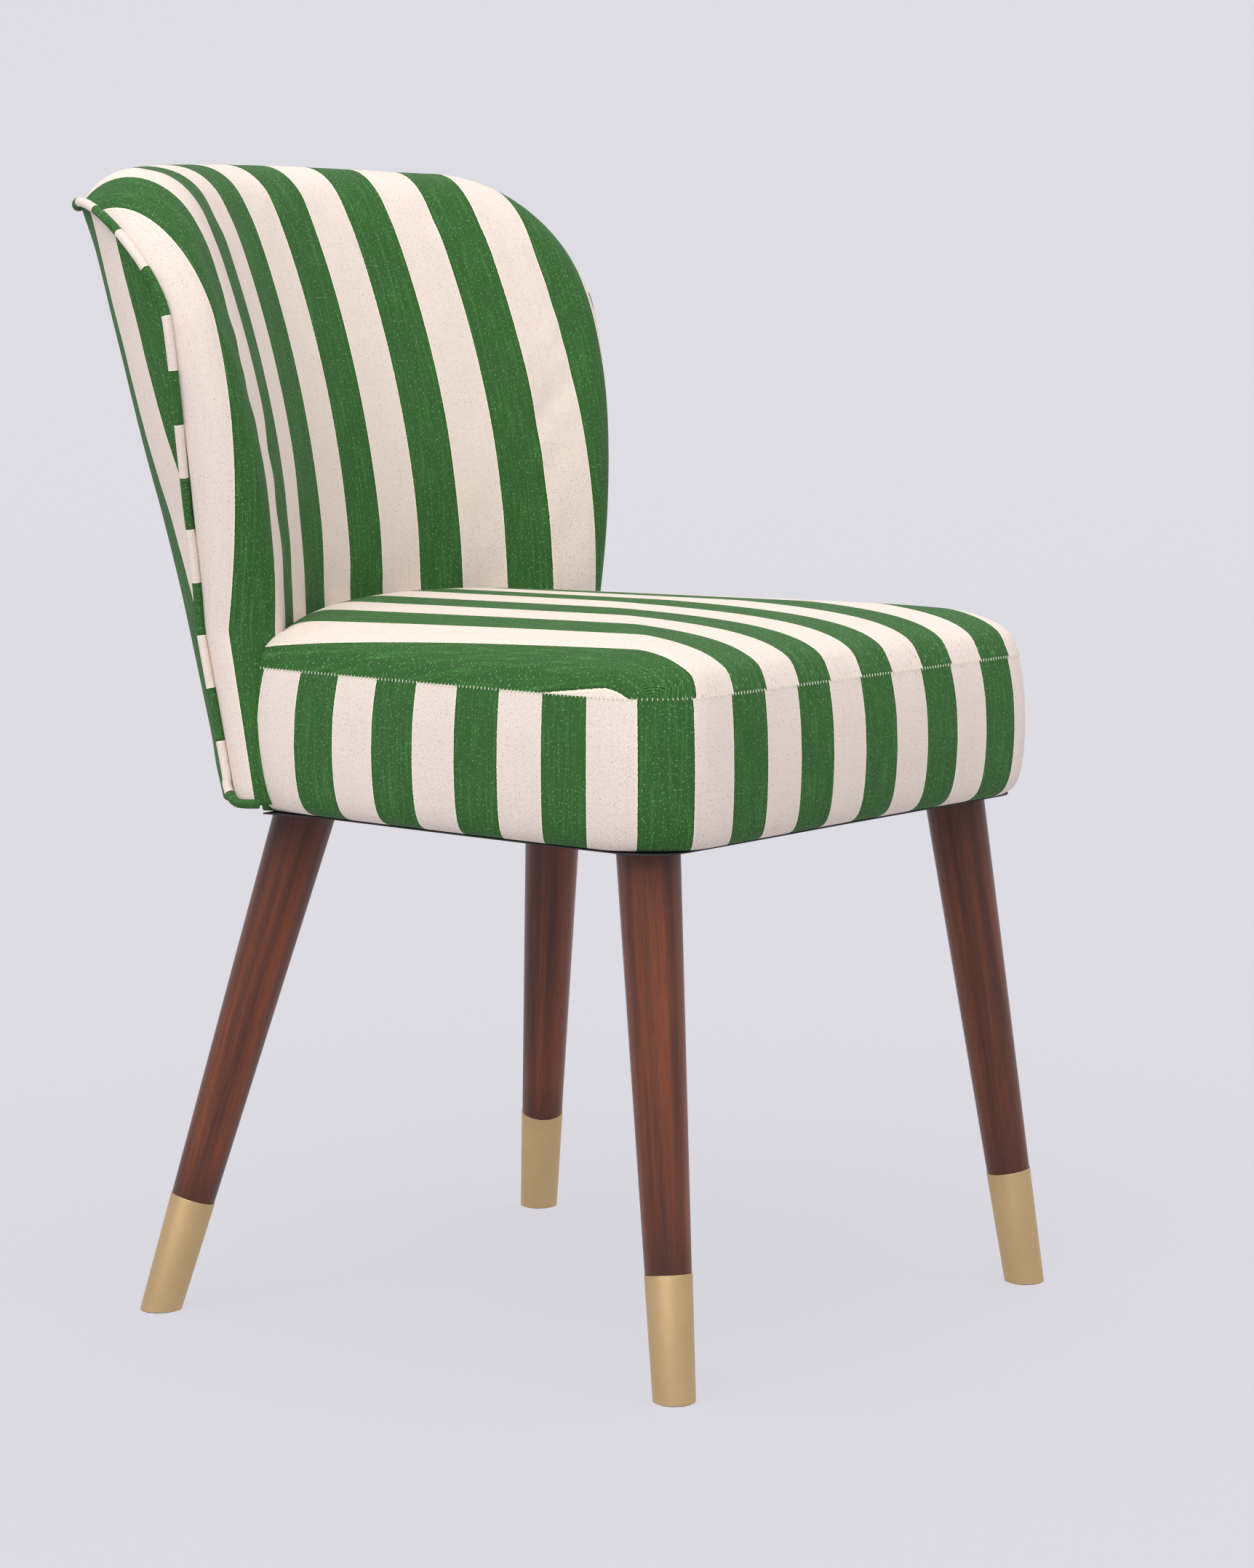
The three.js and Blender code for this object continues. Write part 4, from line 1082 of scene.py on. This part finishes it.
# ------------------------------------------------------------------ back
class CHAIR_OT_back(bpy.types.Operator):
    """Lay the back's cover, close it with the outer panel and pipe the seam"""
    bl_idname = "chair.back"
    bl_label = "Back"

    def execute(self, context):
        size = context.scene.chair_back
        look = context.scene.chair_fabric
        shape = BackShape(size)
        flat_length = path_length(shape.flat_seam)[-1]
        columns = int(2 * 0.28 / size.mesh_step)
        rows = int(flat_length * 0.36 / size.mesh_step)
        cloth = striped_cloth("back stripes", look.stripe, COVER_SHIFT)
        flat = coons(*split_seam(shape.flat_seam, columns, rows))
        self.cover(shape, flat, cloth, size)
        self.outer_panel(shape, columns, rows, size, look)
        self.piping(shape, size, look)
        return {"FINISHED"}

    def cover(self, shape, flat, cloth, size):
        points = shape.cover_point(flat[..., 0], flat[..., 1])
        cover = grid_piece("back_cover_sewn", placed(points), flat)
        rows, columns = flat.shape[:2]
        index = np.arange(rows * columns).reshape(rows, columns)
        held = {*index[0], *index[-1], *index[:, 0], *index[:, -1]}
        held |= set(index[points[..., 2] < 0.52].ravel())
        inflate(cover, sorted(held), 2.0, size.puff)
        self.give_thickness(cover, size.cloth, -1)
        seat_on_frame(cover, ["back_cover", "back_foam"], cloth)

    def give_thickness(self, piece, thickness, offset):
        smoother = piece.modifiers.new("smooth", "SUBSURF")
        smoother.levels = 1
        smoother.render_levels = 1
        apply_modifier(piece, smoother)
        wall = piece.modifiers.new("cloth", "SOLIDIFY")
        wall.thickness = thickness
        wall.offset = offset
        apply_modifier(piece, wall)

    def outer_panel(self, shape, columns, rows, size, look):
        seam = shape.flat_seam
        seam_points = shape.cover_point(seam[:, 0], seam[:, 1])
        flat_seam = np.column_stack([outer_girth_of(seam_points), seam_points[:, 2]])
        shift = seam_points - outer_point(flat_seam[:, 0], flat_seam[:, 1])
        bottom = resample([flat_seam[-1], flat_seam[0]], 42)[1:-1]
        outline = np.vstack([flat_seam, bottom]) - [0, LEVEL]
        shift = np.vstack([shift, np.zeros((len(bottom), 3))])
        around = np.arctan2(outline[:, 1], outline[:, 0])
        grid = coons(*split_seam(flat_seam, columns, rows))
        away = grid - [0, LEVEL]
        bearing = np.arctan2(away[..., 1], away[..., 0])

        def spread(values):
            return np.interp(bearing, around, values, period=2 * np.pi)

        nearness = np.linalg.norm(away, axis=-1) / spread(np.linalg.norm(outline, axis=1))
        pull = np.stack([spread(shift[:, axis]) for axis in range(3)], axis=-1)
        points = outer_point(grid[..., 0], grid[..., 1]) + pull * (np.clip(nearness, 0, 1) ** 4)[..., None]
        panel = grid_piece("back_outer_panel_sewn", placed(points), grid, flip=True)
        self.give_thickness(panel, size.cloth, -1)
        cloth = striped_cloth("outer stripes", look.stripe, OUTER_SHIFT)
        seat_on_frame(panel, ["back_outer_panel"], cloth)

    def piping(self, shape, size, look):
        """A cord in its own cloth, round the seam from one bottom corner to the other."""
        seam = shape.flat_seam
        points = shape.cover_point(seam[:, 0], seam[:, 1])
        near = seam * [0.985, 1.0]
        front = shape.normal(shape.cover_point, near[:, 0], near[:, 1])
        girths = outer_girth_of(points)
        rear = -shape.normal(outer_point, girths * 0.985, points[:, 2])
        path = points + unit(front + rear) * size.piping_proud
        tail = self.tail(shape, size)
        whole = np.vstack([tail[::-1], path[2:-2], tail * [-1, 1, 1]])
        whole = resample(self.relaxed(whole), 460)
        length_along = path_length(whole)
        sides = PIPING_SIDES
        forward = unit(np.gradient(whole, axis=0))
        across = unit(np.cross(forward, np.array([0.0, 1.0, 0.35])))
        rise = np.cross(across, forward)
        turn = np.linspace(0, 2 * np.pi, sides, endpoint=False)
        ring = (whole[:, None] + size.piping_radius * (across[:, None] * np.cos(turn)[None, :, None]
                                                       + rise[:, None] * np.sin(turn)[None, :, None]))
        points = np.vstack([ring.reshape(-1, 3), whole[:1] - forward[:1] * 0.001,
                            whole[-1:] + forward[-1:] * 0.001])
        faces, corners = [], []
        for k in range(len(whole) - 1):
            for i in range(sides):
                j = (i + 1) % sides
                faces.append([k * sides + i, k * sides + j, (k + 1) * sides + j, (k + 1) * sides + i])
                arc = size.piping_radius * 2 * np.pi / sides
                corners += [(length_along[k], i * arc), (length_along[k], (i + 1) * arc),
                            (length_along[k + 1], (i + 1) * arc), (length_along[k + 1], i * arc)]
        last = (len(whole) - 1) * sides
        for i in range(sides):
            j = (i + 1) % sides
            faces.append([j, i, len(points) - 2])
            corners += [(0.0, 0.0)] * 3
            faces.append([last + i, last + j, len(points) - 1])
            corners += [(length_along[-1], 0.0)] * 3
        piping = mesh_piece("back_piping_cord", placed(points), faces, corners)
        cloth = striped_cloth("piping stripes", PIPING_STRIPE, PIPING_SHIFT)
        seat_on_frame(piping, ["back_piping"], cloth)

    def tail(self, shape, size):
        """The cord's end, turned in under the back's lower corner."""
        edge = shape.flat_seam[0]
        made = []
        for back, up in PIPING_TAIL:
            s, h = np.array([edge[0] - back]), np.array([BACK_BOTTOM + up])
            normal = shape.normal(shape.cover_point, s, h)
            made.append((shape.cover_point(s, h) + normal * (size.piping_proud + 0.001))[0])
        return np.array(made)

    def relaxed(self, path):
        path = resample(path, 700)
        for _ in range(12):
            path[1:-1] = (path[:-2] + 2 * path[1:-1] + path[2:]) / 4
        return path


# ------------------------------------------------------------------ parts kept from the frame
class CHAIR_OT_hidden_parts(bpy.types.Operator):
    """Give the frame, the fixings, the glides and the lining their finishes"""
    bl_idname = "chair.hidden_parts"
    bl_label = "Frame and fixings"

    def execute(self, context):
        brass = context.scene.chair_wood.brass
        finishes = {
            "frame_hardwood": bare_wood("beech", (0.55, 0.38, 0.22), (0.40, 0.25, 0.13), (60, 6, 60)),
            "plywood": bare_wood("plywood", (0.60, 0.44, 0.27), (0.46, 0.31, 0.17), (40, 8, 40)),
            "fixing_steel": satin_metal("zinc plate", (0.55, 0.56, 0.57), 0.32),
            "insert_brass": satin_metal("insert brass", brass, 0.35),
            "glide_nylon": moulded_nylon(),
            "lining_cloth": lining_cloth(),
        }
        for part in frame["record"]["subparts"]:
            finish = finishes.get(part["material_slot"])
            if finish is not None:
                mesh = frame["nodes"][part["node"]].data
                mesh.materials.clear()
                mesh.materials.append(finish)
        return {"FINISHED"}


# ------------------------------------------------------------------ add-on
STEPS = (CHAIR_OT_stage, CHAIR_OT_hidden_parts, CHAIR_OT_legs, CHAIR_OT_ferrules, CHAIR_OT_seat,
         CHAIR_OT_back)
SETTINGS = {
    "chair_stage": ChairStageSettings, "chair_legs": ChairLegSettings, "chair_seat": ChairSeatSettings,
    "chair_back": ChairBackSettings, "chair_fabric": ChairFabricSettings, "chair_wood": ChairWoodSettings,
}


class CHAIR_PT_sidebar(bpy.types.Panel):
    """Lists the chair's steps and settings"""
    bl_label = "Dining chair"
    bl_idname = "CHAIR_PT_sidebar"
    bl_space_type = "VIEW_3D"
    bl_region_type = "UI"
    bl_category = "Chair"

    def draw(self, context):
        for step in STEPS:
            self.layout.operator(step.bl_idname)
        for name, settings in SETTINGS.items():
            box = self.layout.box()
            for key in settings.__annotations__:
                box.prop(getattr(context.scene, name), key)


def register():
    for settings in SETTINGS.values():
        bpy.utils.register_class(settings)
    for step in (*STEPS, CHAIR_PT_sidebar):
        bpy.utils.register_class(step)
    for name, settings in SETTINGS.items():
        setattr(bpy.types.Scene, name, PointerProperty(type=settings))


def unregister():
    for name in SETTINGS:
        delattr(bpy.types.Scene, name)
    for step in reversed((*STEPS, CHAIR_PT_sidebar)):
        bpy.utils.unregister_class(step)
    for settings in reversed(SETTINGS.values()):
        bpy.utils.unregister_class(settings)


def main():
    register()
    bpy.ops.chair.stage()
    bpy.ops.chair.hidden_parts()
    bpy.ops.chair.legs()
    bpy.ops.chair.ferrules()
    bpy.ops.chair.seat()
    bpy.ops.chair.back()


if __name__ == "__main__":
    main()
